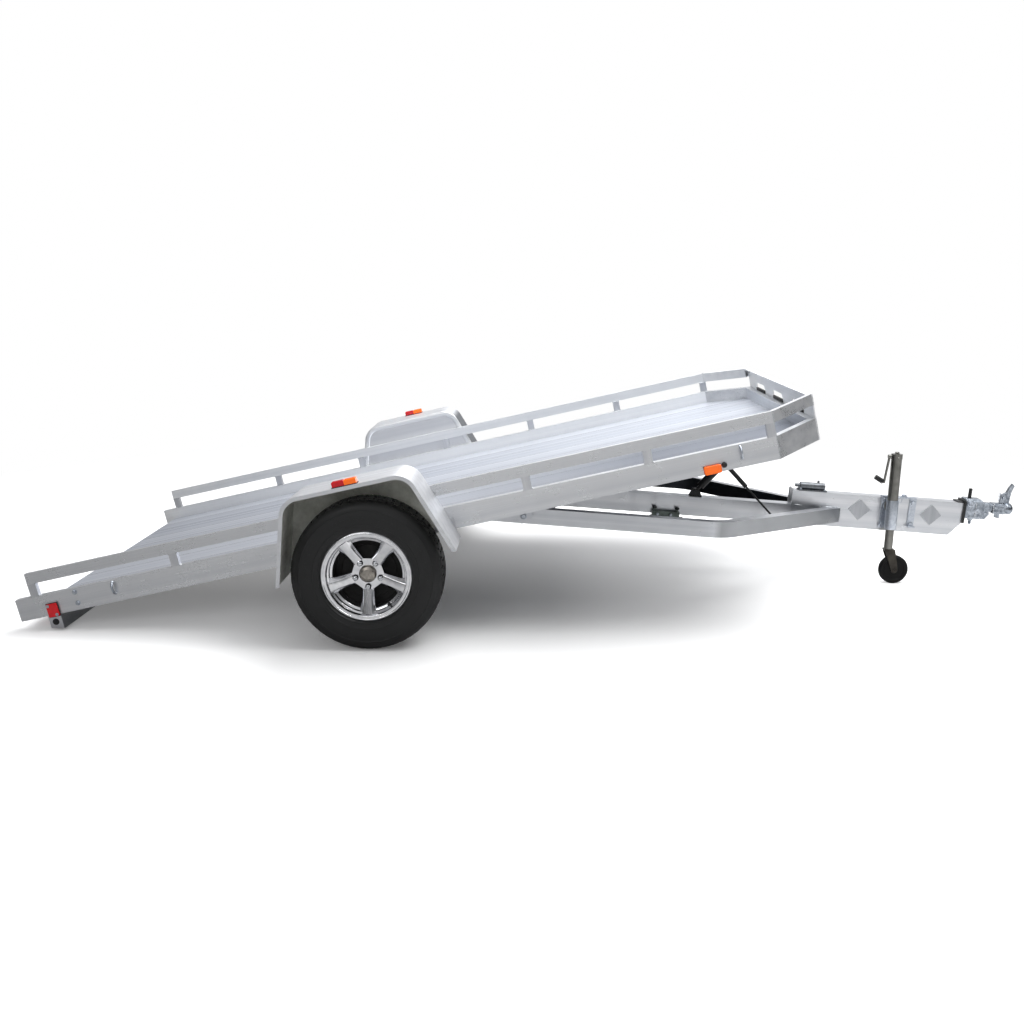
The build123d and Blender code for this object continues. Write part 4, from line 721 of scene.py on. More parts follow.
def turned_piece(name, profile, steps=48, axis=Y_AXIS, smooth=35):
    """Shape spun from a profile of (radius, height along the axis) points."""
    points = [(r, h, 0) if axis == Y_AXIS else (r, 0, h) for r, h in profile]
    made = outlined(name, points, strung(points))
    start_edit(made)
    bpy.ops.mesh.select_all(action="SELECT")
    bpy.ops.mesh.spin(steps=steps, angle=2 * math.pi, center=(0, 0, 0), axis=axis)
    bpy.ops.mesh.select_all(action="SELECT")
    bpy.ops.mesh.remove_doubles(threshold=MERGE)
    return end_edit(made, smooth)


def tread_profile():
    """Half of the tyre's outer section, from bead to crown, as (radius, half width) points."""
    bead = [(0.1795, 0.0700), (0.1880, 0.0770), (0.1962, 0.0800), (0.1968, 0.0860), (0.1985, 0.0905)]
    rim_guard = [(0.2010, 0.0950), (0.2030, 0.0975), (0.2045, 0.0992), (0.2075, 0.0992), (0.2090, 0.0985)]
    lower_ring = [(0.2260, 0.1015), (0.2275, 0.1028), (0.2305, 0.1028), (0.2320, 0.1018)]
    sidewall = [(0.2500, 0.1024), (0.2720, 0.1012)]
    upper_ring = [(0.2860, 0.0990), (0.2875, 0.1000), (0.2905, 0.0996), (0.2920, 0.0980)]
    shoulder = [(0.3060, 0.0935), (0.3170, 0.0865), (0.3240, HALF_TREAD + 0.005), (0.3265, HALF_TREAD),
                (0.3285, 0.0660), (0.3295, 0.0500)]
    outer_groove = [(0.3225, 0.0488), (0.3225, 0.0422), (0.3300, 0.0410), (0.3308, 0.0250)]
    inner_groove = [(0.3240, 0.0238), (0.3240, 0.0172), (0.3310, 0.0160), (TYRE_OUTER, 0.0060)]
    return bead + rim_guard + lower_ring + sidewall + upper_ring + shoulder + outer_groove + inner_groove


def tyre_section():
    """Closed section: the outer skin and an inner liner."""
    half = tread_profile()
    outer = half + [(r, -w) for r, w in reversed(half)]
    liner = [(0.200, -0.082), (0.250, -0.090), (0.300, -0.078), (0.314, -0.050), (0.316, 0.0), (0.314, 0.050),
             (0.300, 0.078), (0.250, 0.090), (0.200, 0.082)]
    return outer + liner + [outer[0]]


print("tyre section has", len(tyre_section()), "points")

# %% [markdown]
# ## Sipes
# Sipes are the short cuts across the ribs that catch the light as the tyre curves away. The spin left even
# columns of faces, so every fourth column of each rib is picked and pushed in, which costs a few faces
# where a boolean cut would cost thousands.

# %% Sipes
SIPE_DEPTH = 0.0035
SIPE_EVERY = 4
SHOULDER_RIB = (0.0500, HALF_TREAD + 0.006)
SECOND_RIB = (0.0250, 0.0410)
CENTRE_RIB_HALF = 0.0155
SHOULDER_TOP, RIB_TOP = 0.322, 0.329


def tyre_model():
    """The spun tyre with sipes sunk into its ribs."""
    model = turned_piece("tyre_model", tyre_section(), TYRE_STEPS, smooth=30)
    start_edit(model)
    column = 2 * math.pi / TYRE_STEPS

    def sipe(centre, normal):
        radius = math.hypot(centre.x, centre.z)
        turn = int((math.atan2(centre.z, centre.x) % (2 * math.pi)) / column) % SIPE_EVERY
        width = abs(centre.y)
        on_shoulder = SHOULDER_RIB[0] < width < SHOULDER_RIB[1] and radius > SHOULDER_TOP
        on_rib = (SECOND_RIB[0] < width < SECOND_RIB[1] or width < CENTRE_RIB_HALF) and radius > RIB_TOP
        return (on_shoulder and turn == 0) or (on_rib and turn == SIPE_EVERY // 2)

    pick_faces(model, sipe)
    bpy.ops.mesh.extrude_region_shrink_fatten(TRANSFORM_OT_shrink_fatten={"value": -SIPE_DEPTH})
    return end_edit(model, 30)


tyre_shape = tyre_model()
print("tyre faces", len(tyre_shape.data.polygons))

# %% [markdown]
# ## Sidewall lettering
# Every tyre carries its size, moulded as raised letters. Text objects give the letters, a little thick,
# and each is made a mesh and turned about the axle to its own angle. On the far wheel the ring of letters
# is turned round rather than mirrored, so that it reads on both sides.

# %% Sidewall lettering
SIDE_WORDS = "ST205/75R14   RADIAL   TUBELESS   LOAD RANGE D"
LETTER_SIZE = 0.014 * 1.35
LETTER_RAISE = 0.0009
LETTER_R = 0.252
LETTER_W = 0.1015
LETTER_START = math.radians(-92)
LETTER_STEP = math.radians(4.1)


def as_mesh(name, data):
    """A curve or text made a mesh object."""
    made = bpy.data.objects.new(name, data)
    bpy.context.collection.objects.link(made)
    bpy.ops.object.select_all(action="DESELECT")
    made.select_set(True)
    bpy.context.view_layer.objects.active = made
    bpy.ops.object.convert(target="MESH")
    return bpy.context.object


def side_letters():
    """Raised size marking round the sidewall, one letter at a time."""
    upright = Matrix.Translation((0, LETTER_W, LETTER_R)) @ Matrix.Rotation(math.radians(-90), 4, "X")
    upright = upright @ Matrix.Rotation(math.radians(180), 4, "Z")
    letters = []
    for index, letter in enumerate(SIDE_WORDS):
        if letter == " ":
            continue
        data = bpy.data.curves.new("letter", "FONT")
        data.body = letter
        data.size = LETTER_SIZE
        data.extrude = LETTER_RAISE
        data.align_x = "CENTER"
        data.resolution_u = 2
        made = as_mesh("letter", data)
        made.data.transform(Matrix.Rotation(LETTER_START + index * LETTER_STEP, 4, "Y") @ upright)
        letters.append(made)
    words = joined(letters, "letters_model")
    start_edit(words)
    return end_edit(words, 30)


letters_shape = side_letters()
TURNED = {"left": Matrix.Identity(4), "right": Matrix.Rotation(math.pi, 4, "Z")}
for side in SIDES:
    body = "wheel_" + side
    made = put(twin(tyre_shape, "tyre_tread_" + side), WHEEL_PLACE[side], body, TYRE_RUBBER)
    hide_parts("tyre_" + side)
    face = AXLE @ TURNED[side] @ Matrix.Translation((0, WHEEL_Y, 0))
    put(twin(letters_shape, "tyre_letters_" + side), face, body, TYRE_RUBBER)
discard(tyre_shape, letters_shape)
print("tyres done")

# %% [markdown]
# ## Wheel nuts and valve stems
# Five chromed nuts hold each wheel, each deep in a black cup in the casting, and a rubber stem lets the air
# in. A nut starts as a six-sided cylinder: insets raise its dome, an extrusion narrows to the cone that
# seats it, and a bevel takes the edge off its six corners. Stem and cup are spun.

# %% Wheel nuts and valve stems
NUT_R, NUT_H, NUT_MIDDLE = 0.0115, 0.020, 0.016
NUT_DOME = [(0.0022, 0.0025), (0.0035, 0.0015)]
NUT_CONE_H, NUT_CONE_SHARE = 0.006, 0.72
NUTS = 5
PCD_R = 0.05715
NUT_SEAT = 0.0245
STEM_R, STEM_SEAT = 0.156, 0.052
STEM_ANGLE = math.radians(306)


def at(x, y, z, normal=Z_AXIS, spin=0.0):
    """Place whose own Z points along a normal."""
    turn = Vector(normal).to_track_quat("Z", "Y").to_matrix().to_4x4()
    return Matrix.Translation((x, y, z)) @ turn @ Matrix.Rotation(spin, 4, "Z")


def scattered(model, name, places, base, body, finish):
    """One piece made of a copy of the model at each place."""
    copies = []
    for index, place in enumerate(places):
        made = twin(model, "%s_%d" % (name, index))
        made.data.transform(place)
        copies.append(made)
    return put(joined(copies, name), base, body, finish)


def cylinder(sides, radius, height, middle):
    """Upright cylinder or prism, its middle at a height, with its place in its mesh."""
    bpy.ops.mesh.primitive_cylinder_add(vertices=sides, radius=radius, depth=height, location=(0, 0, middle))
    bpy.ops.object.transform_apply(location=True, rotation=True, scale=True)
    return bpy.context.object


def wheel_nut():
    """Domed hex nut on a cone seat, pointing along Z."""
    nut = cylinder(6, NUT_R, NUT_H, NUT_MIDDLE)
    start_edit(nut)
    pick_faces(nut, lambda c, n: n.z > 0.9)
    for inset, rise in NUT_DOME:
        bpy.ops.mesh.inset(thickness=inset)
        bpy.ops.transform.translate(value=(0, 0, rise))
    pick_faces(nut, lambda c, n: n.z < -0.9)
    bpy.ops.mesh.extrude_region_move(TRANSFORM_OT_translate={"value": (0, 0, -NUT_CONE_H)})
    bpy.ops.transform.resize(value=(NUT_CONE_SHARE, NUT_CONE_SHARE, 1), center_override=(0, 0, 0))
    pick_edges(nut, lambda a, b: abs(a.z - b.z) > 0.75 * NUT_H)
    bpy.ops.mesh.bevel(offset=0.0009, segments=2)
    return end_edit(nut, 30)


stem_profile = [(0, 0), (0.0055, 0), (0.0055, 0.004), (0.0035, 0.007), (0.0035, 0.020), (0.0043, 0.021),
                (0.0043, 0.030), (0.0033, 0.032), (0, 0.032)]
cup_profile = [(0.0085, 0.0015), (0.0128, 0.0020), (0.0131, 0.0030), (0.0131, 0.0150), (0.0126, 0.0150),
               (0.0122, 0.0045), (0.0085, 0.0035)]
nut_shape = wheel_nut()
stem_shape = turned_piece("stem_model", stem_profile, 16, Z_AXIS)
cup_shape = turned_piece("cup_model", cup_profile, 32, Z_AXIS)
NUT_ANGLES = [math.radians(270 + 360 // NUTS * i) for i in range(NUTS)]
for side, sign in SIDES.items():
    centre = Vector((WHEEL_CENTRE.x, sign * WHEEL_Y, WHEEL_CENTRE.z))
    body = "wheel_" + side
    nuts = []
    for i, angle in enumerate(NUT_ANGLES):
        spot = centre + Vector((PCD_R * math.cos(angle), sign * NUT_SEAT, PCD_R * math.sin(angle)))
        nuts.append(at(*spot, (0, sign, 0), i * 0.7))
    spot = centre + Vector((STEM_R * math.cos(STEM_ANGLE), sign * STEM_SEAT, STEM_R * math.sin(STEM_ANGLE)))
    for model, name, places, finish, slot in (
            (nut_shape, "wheel_nuts_", nuts, CHROME, "chrome_rod"),
            (cup_shape, "lug_cups_", nuts, PLASTIC, "black_plastic"),
            (stem_shape, "valve_stem_", [at(*spot, (0, sign, 0))], SOFT_RUBBER, "black_rubber")):
        scattered(model, name + side, places, Matrix.Identity(4), body, finish)
discard(nut_shape, stem_shape, cup_shape)
print("nuts and stems done")

# %% [markdown]
# ## Wheel faces
# The cast face has five spokes with a flat machined ridge, and each flares where it meets the lip. One
# spoke is a skin through six rings of points, from the hub outward, bevelled along its ridge and its foot,
# and turned to five places. The lip is stepped, the dish behind it steps down to the barrel, and a black
# matt shell of painted shade lines the barrel, so that the windows between the spokes look deep.

# %% Wheel spokes
# (distance from the axis, half width of ridge, half width of foot, height of ridge, of foot, of back)
SPOKE_STATIONS = [(0.0660, 0.0165, 0.0265, 0.0468, 0.0402, 0.030),
                  (0.0850, 0.0162, 0.0272, 0.0520, 0.0402, 0.030),
                  (0.1080, 0.0160, 0.0285, 0.0583, 0.0445, 0.034),
                  (0.1320, 0.0162, 0.0305, 0.0649, 0.0525, 0.042),
                  (0.1520, 0.0168, 0.0345, 0.0704, 0.0590, 0.049),
                  (0.1700, 0.0178, 0.0405, 0.0752, 0.0640, 0.055)]
STATION_STEP = 0.01
RIDGE_REACH, FOOT_START, FOOT_LOW = 0.0185, 0.020, 0.036


def bridged(name, rings):
    """Skin through closed rings of points, with both ends filled, left open for editing."""
    count = len(rings[0])
    points = [point for ring in rings for point in ring]
    edges = [(k * count + i, k * count + (i + 1) % count) for k in range(len(rings)) for i in range(count)]
    made = outlined(name, points, edges)
    start_edit(made)
    bpy.ops.mesh.select_all(action="SELECT")
    bpy.ops.mesh.bridge_edge_loops()
    bpy.ops.mesh.select_all(action="SELECT")
    bpy.ops.mesh.fill_holes(sides=count)
    bpy.ops.mesh.select_all(action="SELECT")
    bpy.ops.mesh.normals_make_consistent(inside=False)
    return made


def spoke_model():
    """Flared spoke with a flat ridge, lying along X with its face to +Y."""
    rings = []
    for r, ridge, foot, top, low, back in SPOKE_STATIONS:
        rings.append([(r, back, -foot), (r, low, -foot), (r, top, -ridge), (r, top, ridge), (r, low, foot),
                      (r, back, foot)])
    made = bridged("spoke_model", rings)
    pick_edges(made, lambda a, b: abs(a.x - b.x) > STATION_STEP and max(abs(a.z), abs(b.z)) < RIDGE_REACH)
    bpy.ops.mesh.bevel(offset=0.0022, segments=3)
    pick_edges(made, lambda a, b: (abs(a.x - b.x) > STATION_STEP and min(abs(a.z), abs(b.z)) > FOOT_START
                                   and min(a.y, b.y) > FOOT_LOW))
    bpy.ops.mesh.bevel(offset=0.0018, segments=2)
    return end_edit(made, 40)


spoke_shape = spoke_model()
print("spoke faces", len(spoke_shape.data.polygons))

# %% [markdown]
# ## Lips, dishes and painted shade
# Each rim has a stepped lip round its edge and a dish between the lip and the spokes. Both are turned on a
# lathe, so both are an outline swept round the axle. Behind the spokes sits a black matt shell of painted
# shade, which keeps the windows between them black.

# %% Lips, dishes and painted shade
lip_profile = [(0.1946, 0.0870), (0.1950, 0.0895), (0.1935, 0.0912), (0.1895, 0.0914), (0.1872, 0.0903),
               (0.1862, 0.0888), (0.1780, 0.0884), (0.1756, 0.0878), (0.1745, 0.0860), (0.1946, 0.0870)]
dish_profile = [(0.1736, 0.0800), (0.1722, 0.0740), (0.1700, 0.0714), (0.1652, 0.0696), (0.1636, 0.0676),
                (0.1630, 0.0590), (0.1614, 0.0562), (0.1530, 0.0530), (0.1512, 0.0508), (0.1500, 0.0440),
                (0.1490, 0.0060), (0.1510, 0.0060), (0.1560, 0.0400), (0.1690, 0.0600), (0.1736, 0.0800)]
shade_shell_profile = [(0.0660, -0.0060), (0.1180, -0.0060), (0.1220, -0.0100), (0.1478, -0.0100),
                (0.1478, -0.0390), (0.1690, -0.0570), (0.1730, -0.0860), (0.1722, -0.0860),
                (0.1682, -0.0573), (0.1470, -0.0393), (0.1470, -0.0110), (0.1216, -0.0110),
                (0.1176, -0.0070), (0.0660, -0.0070), (0.0660, -0.0060)]
# Painted shade: a black matt shell on the barrel, so that nothing behind the spokes shines.
SPOKE_SHADE_SHELL = coated("painted shade behind the spokes", "121110", "0a0909", 0.8, 1.0)
lip_shape = turned_piece("lip_model", lip_profile, 96, smooth=50)
dish_shape = turned_piece("dish_model", dish_profile, 96)
shade_shell_shape = turned_piece("shade_shell_model", shade_shell_profile, 72)
for side in SIDES:
    place, body = WHEEL_PLACE[side], "wheel_" + side
    turns = [Matrix.Rotation(-angle, 4, "Y") for angle in NUT_ANGLES]
    scattered(spoke_shape, "spoke_faces_" + side, turns, place, body, ALLOY)
    put(twin(lip_shape, "rim_lip_" + side), place, body, ALLOY)
    put(twin(dish_shape, "rim_dish_" + side), place, body, ALLOY)
    put(twin(shade_shell_shape, "spoke_shade_" + side), place, body, SPOKE_SHADE_SHELL)
discard(spoke_shape, lip_shape, dish_shape, shade_shell_shape)
print("wheel faces done")

# %% [markdown]
# ## Welds
# The bed and the tongue are welded by hand, and the stacked scales of a bead are what says so. A bead could
# be a bump, but its outline shows at every joint, so it is a thin bar whose radius swells and shrinks along
# the path, with a little chance in each scale. Beads go round each post, up the mitres, round the diamond
# plates, along the seam of the two tongue tubes and where the A-frame rails reach them.

# %% Weld bars
WOBBLE = 0.06
SCALE_STEP = 0.55


def resampled(path, step):
    """Points at an even step along a path."""
    made = [path[0]]
    for first, second in zip(path, path[1:]):
        count = max(1, round((second - first).length / step))
        made += [first.lerp(second, (i + 1) / count) for i in range(count)]
    return made


def line_piece(name, paths, radius, ripple=0.0, sides=3):
    """Round bead or bar along each path; ripple makes the stacked scales of a weld."""
    curve = bpy.data.curves.new(name, "CURVE")
    curve.dimensions = "3D"
    curve.bevel_depth = radius
    curve.bevel_resolution = sides
    curve.use_fill_caps = True
    for path in paths:
        steps = [Vector(p) for p in path]
        if ripple:
            steps = resampled(steps, radius * SCALE_STEP)
        spline = curve.splines.new("POLY")
        spline.points.add(len(steps) - 1)
        for index, step in enumerate(steps):
            spline.points[index].co = (*step, 1)
            wobble = random.uniform(-WOBBLE, WOBBLE) if ripple else 0.0
            spline.points[index].radius = 1 + wobble + (ripple if index % 2 else -ripple)
    bar = as_mesh(name, curve)
    start_edit(bar)
    return end_edit(bar, 60)


def weld_finish():
    """Fresh aluminium weld: paler and duller than the tube, mottled light and dark by its scales."""
    made, tree, coords = fresh("aluminium weld bead")
    scales = node(tree, "TexNoise", grain(coords, 5, 4, 0.6))
    tone = node(tree, "MapRange", [scales, *NOISE_SPAN, 0.0, 1.0])
    return skinned(made, {"Base Color": node(tree, "Mix", mixed(tone, "e8eaec", "a9adb2"), **COLOURS),
                          "Metallic": 1.0,
                          "Roughness": node(tree, "MapRange", [scales, *NOISE_SPAN, 0.36, 0.55]),
                          "Normal": node(tree, "Bump", relief(scales, 0.25))})


WELD = weld_finish()
print("weld finish ready")

# %% [markdown]
# ## Welds on the bed
# Each post is welded on the three sides that a torch can reach, the rails up their mitres, and the cross
# members to the rails under the deck. All the beads are one piece, as they share a finish and a body.

# %% Welds on the bed
BED_HALF = 1.015
RAIL_LOW, RAIL_TOP, TOP_LOW, TOP_TOP = 0.074, 0.176, 0.236, 0.287
RAIL_WALL, TOP_WALL = 0.038, 0.0254
RAIL_IN, TOP_IN = BED_HALF - RAIL_WALL, BED_HALF - TOP_WALL
POST_PLACES = [-1.555] + [-0.883 + 0.5424 * i for i in range(6)]
POST_HALF = 0.019
BEND, NOSE = (1.848, BED_HALF), (2.079, 0.7705)
MEMBER_PLACES = (-1.18, -0.76, -0.34, 0.28, 0.69, 1.078, 1.47)
MEMBER_SEAM = (0.002, 0.048)
BEAD_R, BEAD_RIPPLE = 0.0022, 0.14


def post_welds(sign):
    """Beads round both ends of each post on three sides."""
    return [[(u - POST_HALF, sign * BED_HALF, w), (u - POST_HALF, sign * TOP_IN, w),
             (u + POST_HALF, sign * TOP_IN, w), (u + POST_HALF, sign * BED_HALF, w)]
            for u in POST_PLACES for w in (RAIL_TOP + 0.001, TOP_LOW - 0.001)]


def corner_welds(sign):
    """Beads up the mitres of the rails and in across the top of each bend."""
    paths = []
    for low, high, reach in ((RAIL_LOW, RAIL_TOP, 0.036), (TOP_LOW, TOP_TOP, 0.024)):
        paths += [[(u, sign * y, low), (u, sign * y, high)] for u, y in (BEND, NOSE)]
        paths.append([(BEND[0], sign * BED_HALF, high), (BEND[0] - 0.012, sign * (BED_HALF - reach), high)])
    return paths


def cross_welds(sign):
    """Beads where the cross members meet the side rails, under the deck."""
    y, w = sign * (RAIL_IN - 0.001), RAIL_LOW + 0.003
    return [[(u + end, y, w) for end in MEMBER_SEAM] for u in MEMBER_PLACES]


bed_paths = [path for sign in (1, -1) for path in post_welds(sign) + corner_welds(sign) + cross_welds(sign)]
put(line_piece("bed_welds", bed_paths, BEAD_R, BEAD_RIPPLE), BED, "root", WELD)
print("bed beads", len(bed_paths))

# %% [markdown]
# ## Welds on the tongue
# The two tongue tubes are stitched with short beads at an even pitch, because one long bead would bend them.
# The diamond plates are welded all round, the A-frame rails where they meet the spine and the cross tube.

# %% Welds on the tongue
TUBE_HALF = 0.038
TUBE_Y = 0.0395
ARM_Y = 0.603
PLATE_HALF = 0.0555
PLATE_PLACES = (1.770, 2.147)
STITCH_START, STITCH_PITCH, STITCH_LENGTH, STITCHES = 1.43, 0.125, 0.034, 7
STITCH_Y, SPINE_Y = 0.0365, 0.0385
ARM_FRONT, ARM_LOW_START, ARM_TOP_START = 1.671, 1.632, 1.580
CROSS_REAR, CROSS_FRONT = 0.100, 0.150
SIDE_LOW, SIDE_TOP = -0.036, 0.036
UNDER, OVER, ARM_OVER = -0.037, 0.037, 0.0395
END_PLATE_T, END_PLATE_Y, END_PLATE_LOW, END_PLATE_TOP = 1.4085, 0.037, 0.040, 0.118
TONGUE_BEAD_R = 0.0024


def diamond_path(t, y):
    """Outline of one diamond plate on the tongue's side."""
    middle = TUBE_HALF
    return [(t, y, middle + PLATE_HALF), (t + PLATE_HALF, y, middle), (t, y, middle - PLATE_HALF),
            (t - PLATE_HALF, y, middle), (t, y, middle + PLATE_HALF)]


def seam(start, end, y, low, high):
    """Straight bead on one side of the tongue, along it or up it."""
    return [(start, y, low), (end, y, high)]


def tongue_paths(sign):
    """Beads on one side of the tongue: plates, seam of the two tubes, ends of the A-frame rail."""
    y, arm_y = sign * TUBE_Y, sign * ARM_Y
    paths = [diamond_path(t, y) for t in PLATE_PLACES]
    for i in range(STITCHES):
        t = STITCH_START + STITCH_PITCH * i
        paths.append(seam(t, t + STITCH_LENGTH, sign * STITCH_Y, TUBE_HALF, TUBE_HALF))
    paths.append(seam(ARM_LOW_START, ARM_FRONT + 0.001, y, UNDER, UNDER))
    paths.append(seam(ARM_FRONT, ARM_FRONT, y, SIDE_LOW, SIDE_TOP))
    paths.append(seam(ARM_TOP_START, ARM_FRONT - 0.001, y, ARM_OVER, ARM_OVER))
    paths.append(seam(CROSS_REAR, CROSS_FRONT - 0.001, arm_y, OVER, OVER))
    paths.append(seam(CROSS_FRONT, CROSS_FRONT, arm_y, SIDE_LOW, SIDE_TOP))
    paths.append(seam(CROSS_FRONT + 0.001, CROSS_FRONT + 0.001, sign * SPINE_Y, SIDE_LOW, SIDE_TOP))
    return paths


end_plate = [seam(END_PLATE_T, END_PLATE_T, y, END_PLATE_LOW, END_PLATE_TOP)
             for y in (-END_PLATE_Y, END_PLATE_Y)]
tongue_beads = tongue_paths(1) + tongue_paths(-1) + end_plate
tongue_welds = line_piece("tongue_welds", tongue_beads, TONGUE_BEAD_R, BEAD_RIPPLE)
put(tongue_welds, TONGUE, "tongue", WELD)
print("tongue beads", len(tongue_beads))

# %% [markdown]
# ## Bolts
# What isn't welded is bolted: the axle to the bed, the hinge, the lamps, the jack's bracket and the coupler.
# A hex head is a six-sided cylinder whose top is inset twice, once for its chamfer and once for the dish
# that forging leaves, on a round washer with its upper edge bevelled. Three sizes cover the trailer, and
# each bolt is turned a little differently, as a wrench leaves it.

# %% Hex bolts
# Shares of the head's height (thick, up, down) and of its width across the flats (reach, in).
WASHER_THICK, WASHER_REACH = 0.25, 0.74
CHAMFER_IN, CHAMFER_UP = 0.09, 0.12
DISH_IN, DISH_DOWN = 0.16, 0.06


def hex_bolt(name, across, height):
    """Hex head with chamfered corners on a round washer; its seat is at Z = 0."""
    washer = height * WASHER_THICK
    head = cylinder(6, across / math.sqrt(3), height, washer + height / 2)
    start_edit(head)
    pick_faces(head, lambda c, n: n.z > 0.9)
    bpy.ops.mesh.inset(thickness=across * CHAMFER_IN)
    bpy.ops.transform.translate(value=(0, 0, height * CHAMFER_UP))
    bpy.ops.mesh.inset(thickness=across * DISH_IN)
    bpy.ops.transform.translate(value=(0, 0, -height * DISH_DOWN))
    end_edit(head, 25)
    ring = cylinder(28, across * WASHER_REACH, washer, washer / 2)
    start_edit(ring)
    pick_edges(ring, lambda a, b: min(a.z, b.z) > washer * 0.9)
    bpy.ops.mesh.bevel(offset=washer * 0.3, segments=2)
    end_edit(ring)
    return joined([head, ring], name)


bolt_14 = hex_bolt("bolt_14_model", 0.022, 0.009)
bolt_10 = hex_bolt("bolt_10_model", 0.016, 0.0065)
bolt_6 = hex_bolt("bolt_6_model", 0.010, 0.004)
print("bolt faces", len(bolt_14.data.polygons))

# %% [markdown]
# ## Bolts on the bed
# Four of the largest bolts hold each axle pad and two each hinge. Smaller ones go through each side rail
# near the tail and through each fender's stay, and two screws hold each rear side lamp at its corners.

# %% Bolts on the bed
DOWN = (0, 0, -1)
PAD_BOLT_U, PAD_BOLT_Y, PAD_BOLT_W = (0.093, 0.207), (0.948, 0.990), 0.067
HINGE_OUT, HINGE_IN = 0.6685, 0.5915
RAIL_BOLT_U, RAIL_BOLT_W = -1.370, (0.106, 0.158)
STAY_BOLT_U, STAY_BOLT_Y, STAY_BOLT_W = 0.374, 1.0205, (0.062, 0.105)
LAMP_Y = 1.0315

pad_and_hinge = []
for sign in (1, -1):
    out = (0, sign, 0)
    pad_and_hinge += [at(u, sign * y, PAD_BOLT_W, DOWN, u * 9) for u in PAD_BOLT_U for y in PAD_BOLT_Y]
    pad_and_hinge += [at(HINGE_U, sign * HINGE_OUT, HINGE_W, out, 0.3),
                      at(HINGE_U, sign * HINGE_IN, HINGE_W, (0, -sign, 0), 0.9)]
scattered(bolt_14, "bed_bolts", pad_and_hinge, BED, "root", ZINC)

rail_bolts = [at(RAIL_BOLT_U, sign * BED_HALF, w, (0, sign, 0), w * 7)
              for sign in (1, -1) for w in RAIL_BOLT_W]
rail_bolts += [at(STAY_BOLT_U, sign * STAY_BOLT_Y, w, (0, sign, 0), w * 5)
               for sign in (1, -1) for w in STAY_BOLT_W]
scattered(bolt_10, "rail_bolts", rail_bolts, BED, "root", ZINC)

lamp_screws = [at(u, sign * LAMP_Y, w, (0, sign, 0), spin) for sign in (1, -1)
               for u, w, spin in ((-1.505, 0.1215, 0.2), (-1.473, 0.0765, 0.5))]
scattered(bolt_6, "lamp_screws", lamp_screws, BED, "root", ZINC)
print("bed bolts", len(pad_and_hinge) + len(rail_bolts) + len(lamp_screws))

# %% [markdown]
# ## Bolts on the tongue
# One bolt stands on top of the tongue, four hold the jack's bracket to its right side, and two on each side
# go through the coupler. The bed latch has four small screws.

# %% Bolts on the tongue
RIGHT = (0, -1, 0)
PLATE_BOLT_Y = -0.046
COUPLER_HALF = 0.042
LATCH_TOP = 0.120

tongue_bolts = [at(2.000, -0.024, 0.121, Z_AXIS, 0.4)]
tongue_bolts += [at(t, PLATE_BOLT_Y, v, RIGHT, spin) for t, v, spin in
                 ((2.045, 0.092, 0.1), (2.045, -0.022, 0.6), (1.893, 0.100, 0.8), (1.893, -0.036, 0.3))]
tongue_bolts += [at(t, sign * COUPLER_HALF, v, (0, sign, 0), spin) for sign in (1, -1)
                 for t, v, spin in ((2.348, 0.112, 0.2), (2.386, 0.078, 0.7))]
scattered(bolt_14, "tongue_bolts", tongue_bolts, TONGUE, "tongue", ZINC)
latch_bolts = [at(t, y, LATCH_TOP, Z_AXIS, t) for t in (1.455, 1.581) for y in (-0.0175, 0.0175)]
scattered(bolt_6, "latch_bolts", latch_bolts, TONGUE, "tongue", ZINC)
print("tongue bolts", len(tongue_bolts) + len(latch_bolts))

# %% [markdown]
# ## Coupler bolt ends
# Two bolts come out below the coupler's casting, each with a nut and some thread to spare. The thread is
# nine teeth in the outline of a turned shank: rings and not a spiral, which can't be told apart so small.

# %% Coupler bolt ends
def through_bolt():
    """Bolt end below a casting: nut with threads below it; its seat is at Z = 0 and it hangs down."""
    profile = [(0, 0.001), (0.0078, 0.001), (0.0078, -0.014)]
    for i in range(9):
        z = -0.014 - 0.002 * i
        profile += [(0.0072, z), (0.0082, z - 0.001)]
    shank = turned_piece("shank", profile + [(0.0072, -0.033), (0, -0.033)], 20, Z_AXIS)
    nut = hex_bolt("nut", 0.024, 0.010)
    nut.data.transform(Matrix.Rotation(math.pi, 4, "X"))
    return joined([shank, nut], "through_bolt_model")


bolt_end = through_bolt()
bolt_ends = [at(t, 0, 0.031) for t in (2.322, 2.372)]
scattered(bolt_end, "coupler_bolt_ends", bolt_ends, TONGUE, "tongue", ZINC)
discard(bolt_14, bolt_10, bolt_6, bolt_end)
print("coupler bolt ends", len(bolt_ends))

# %% [markdown]
# ## Tie-down loops
# Two steel half rings stand on the outside of each side rail for straps. Each is a bar bent along a half
# circle and let into the rail, with a short bead over each foot.

# %% Tie-down loops
LOOP_PLACES = (-1.187, 1.685)
LOOP_OUT, LOOP_HALF, LOOP_W = 0.024, 0.028, 0.140
LOOP_BAR_R = 0.0055
LOOP_STEPS = 12


def loop_path(u, sign):
    """Half ring that stands out from the outer face of a side rail."""
    foot = sign * (BED_HALF - 0.002)
    angles = [math.pi * i / LOOP_STEPS for i in range(LOOP_STEPS + 1)]
    return [(u, foot + sign * LOOP_OUT * math.sin(a), LOOP_W + LOOP_HALF * math.cos(a)) for a in angles]


loop_paths = [loop_path(u, sign) for u in LOOP_PLACES for sign in (1, -1)]
loops = line_piece("tie_down_loops", loop_paths, LOOP_BAR_R, sides=5)
put(loops, BED, "root", ZINC)
loop_beads = [[(u - 0.007, sign * BED_HALF, w), (u, sign * (BED_HALF + 0.002), w + 0.008),
               (u + 0.007, sign * BED_HALF, w)]
              for u in LOOP_PLACES for sign in (1, -1) for w in (0.110, 0.166)]
put(line_piece("loop_welds", loop_beads, BEAD_R, 0.1), BED, "root", WELD)
print("loops done")
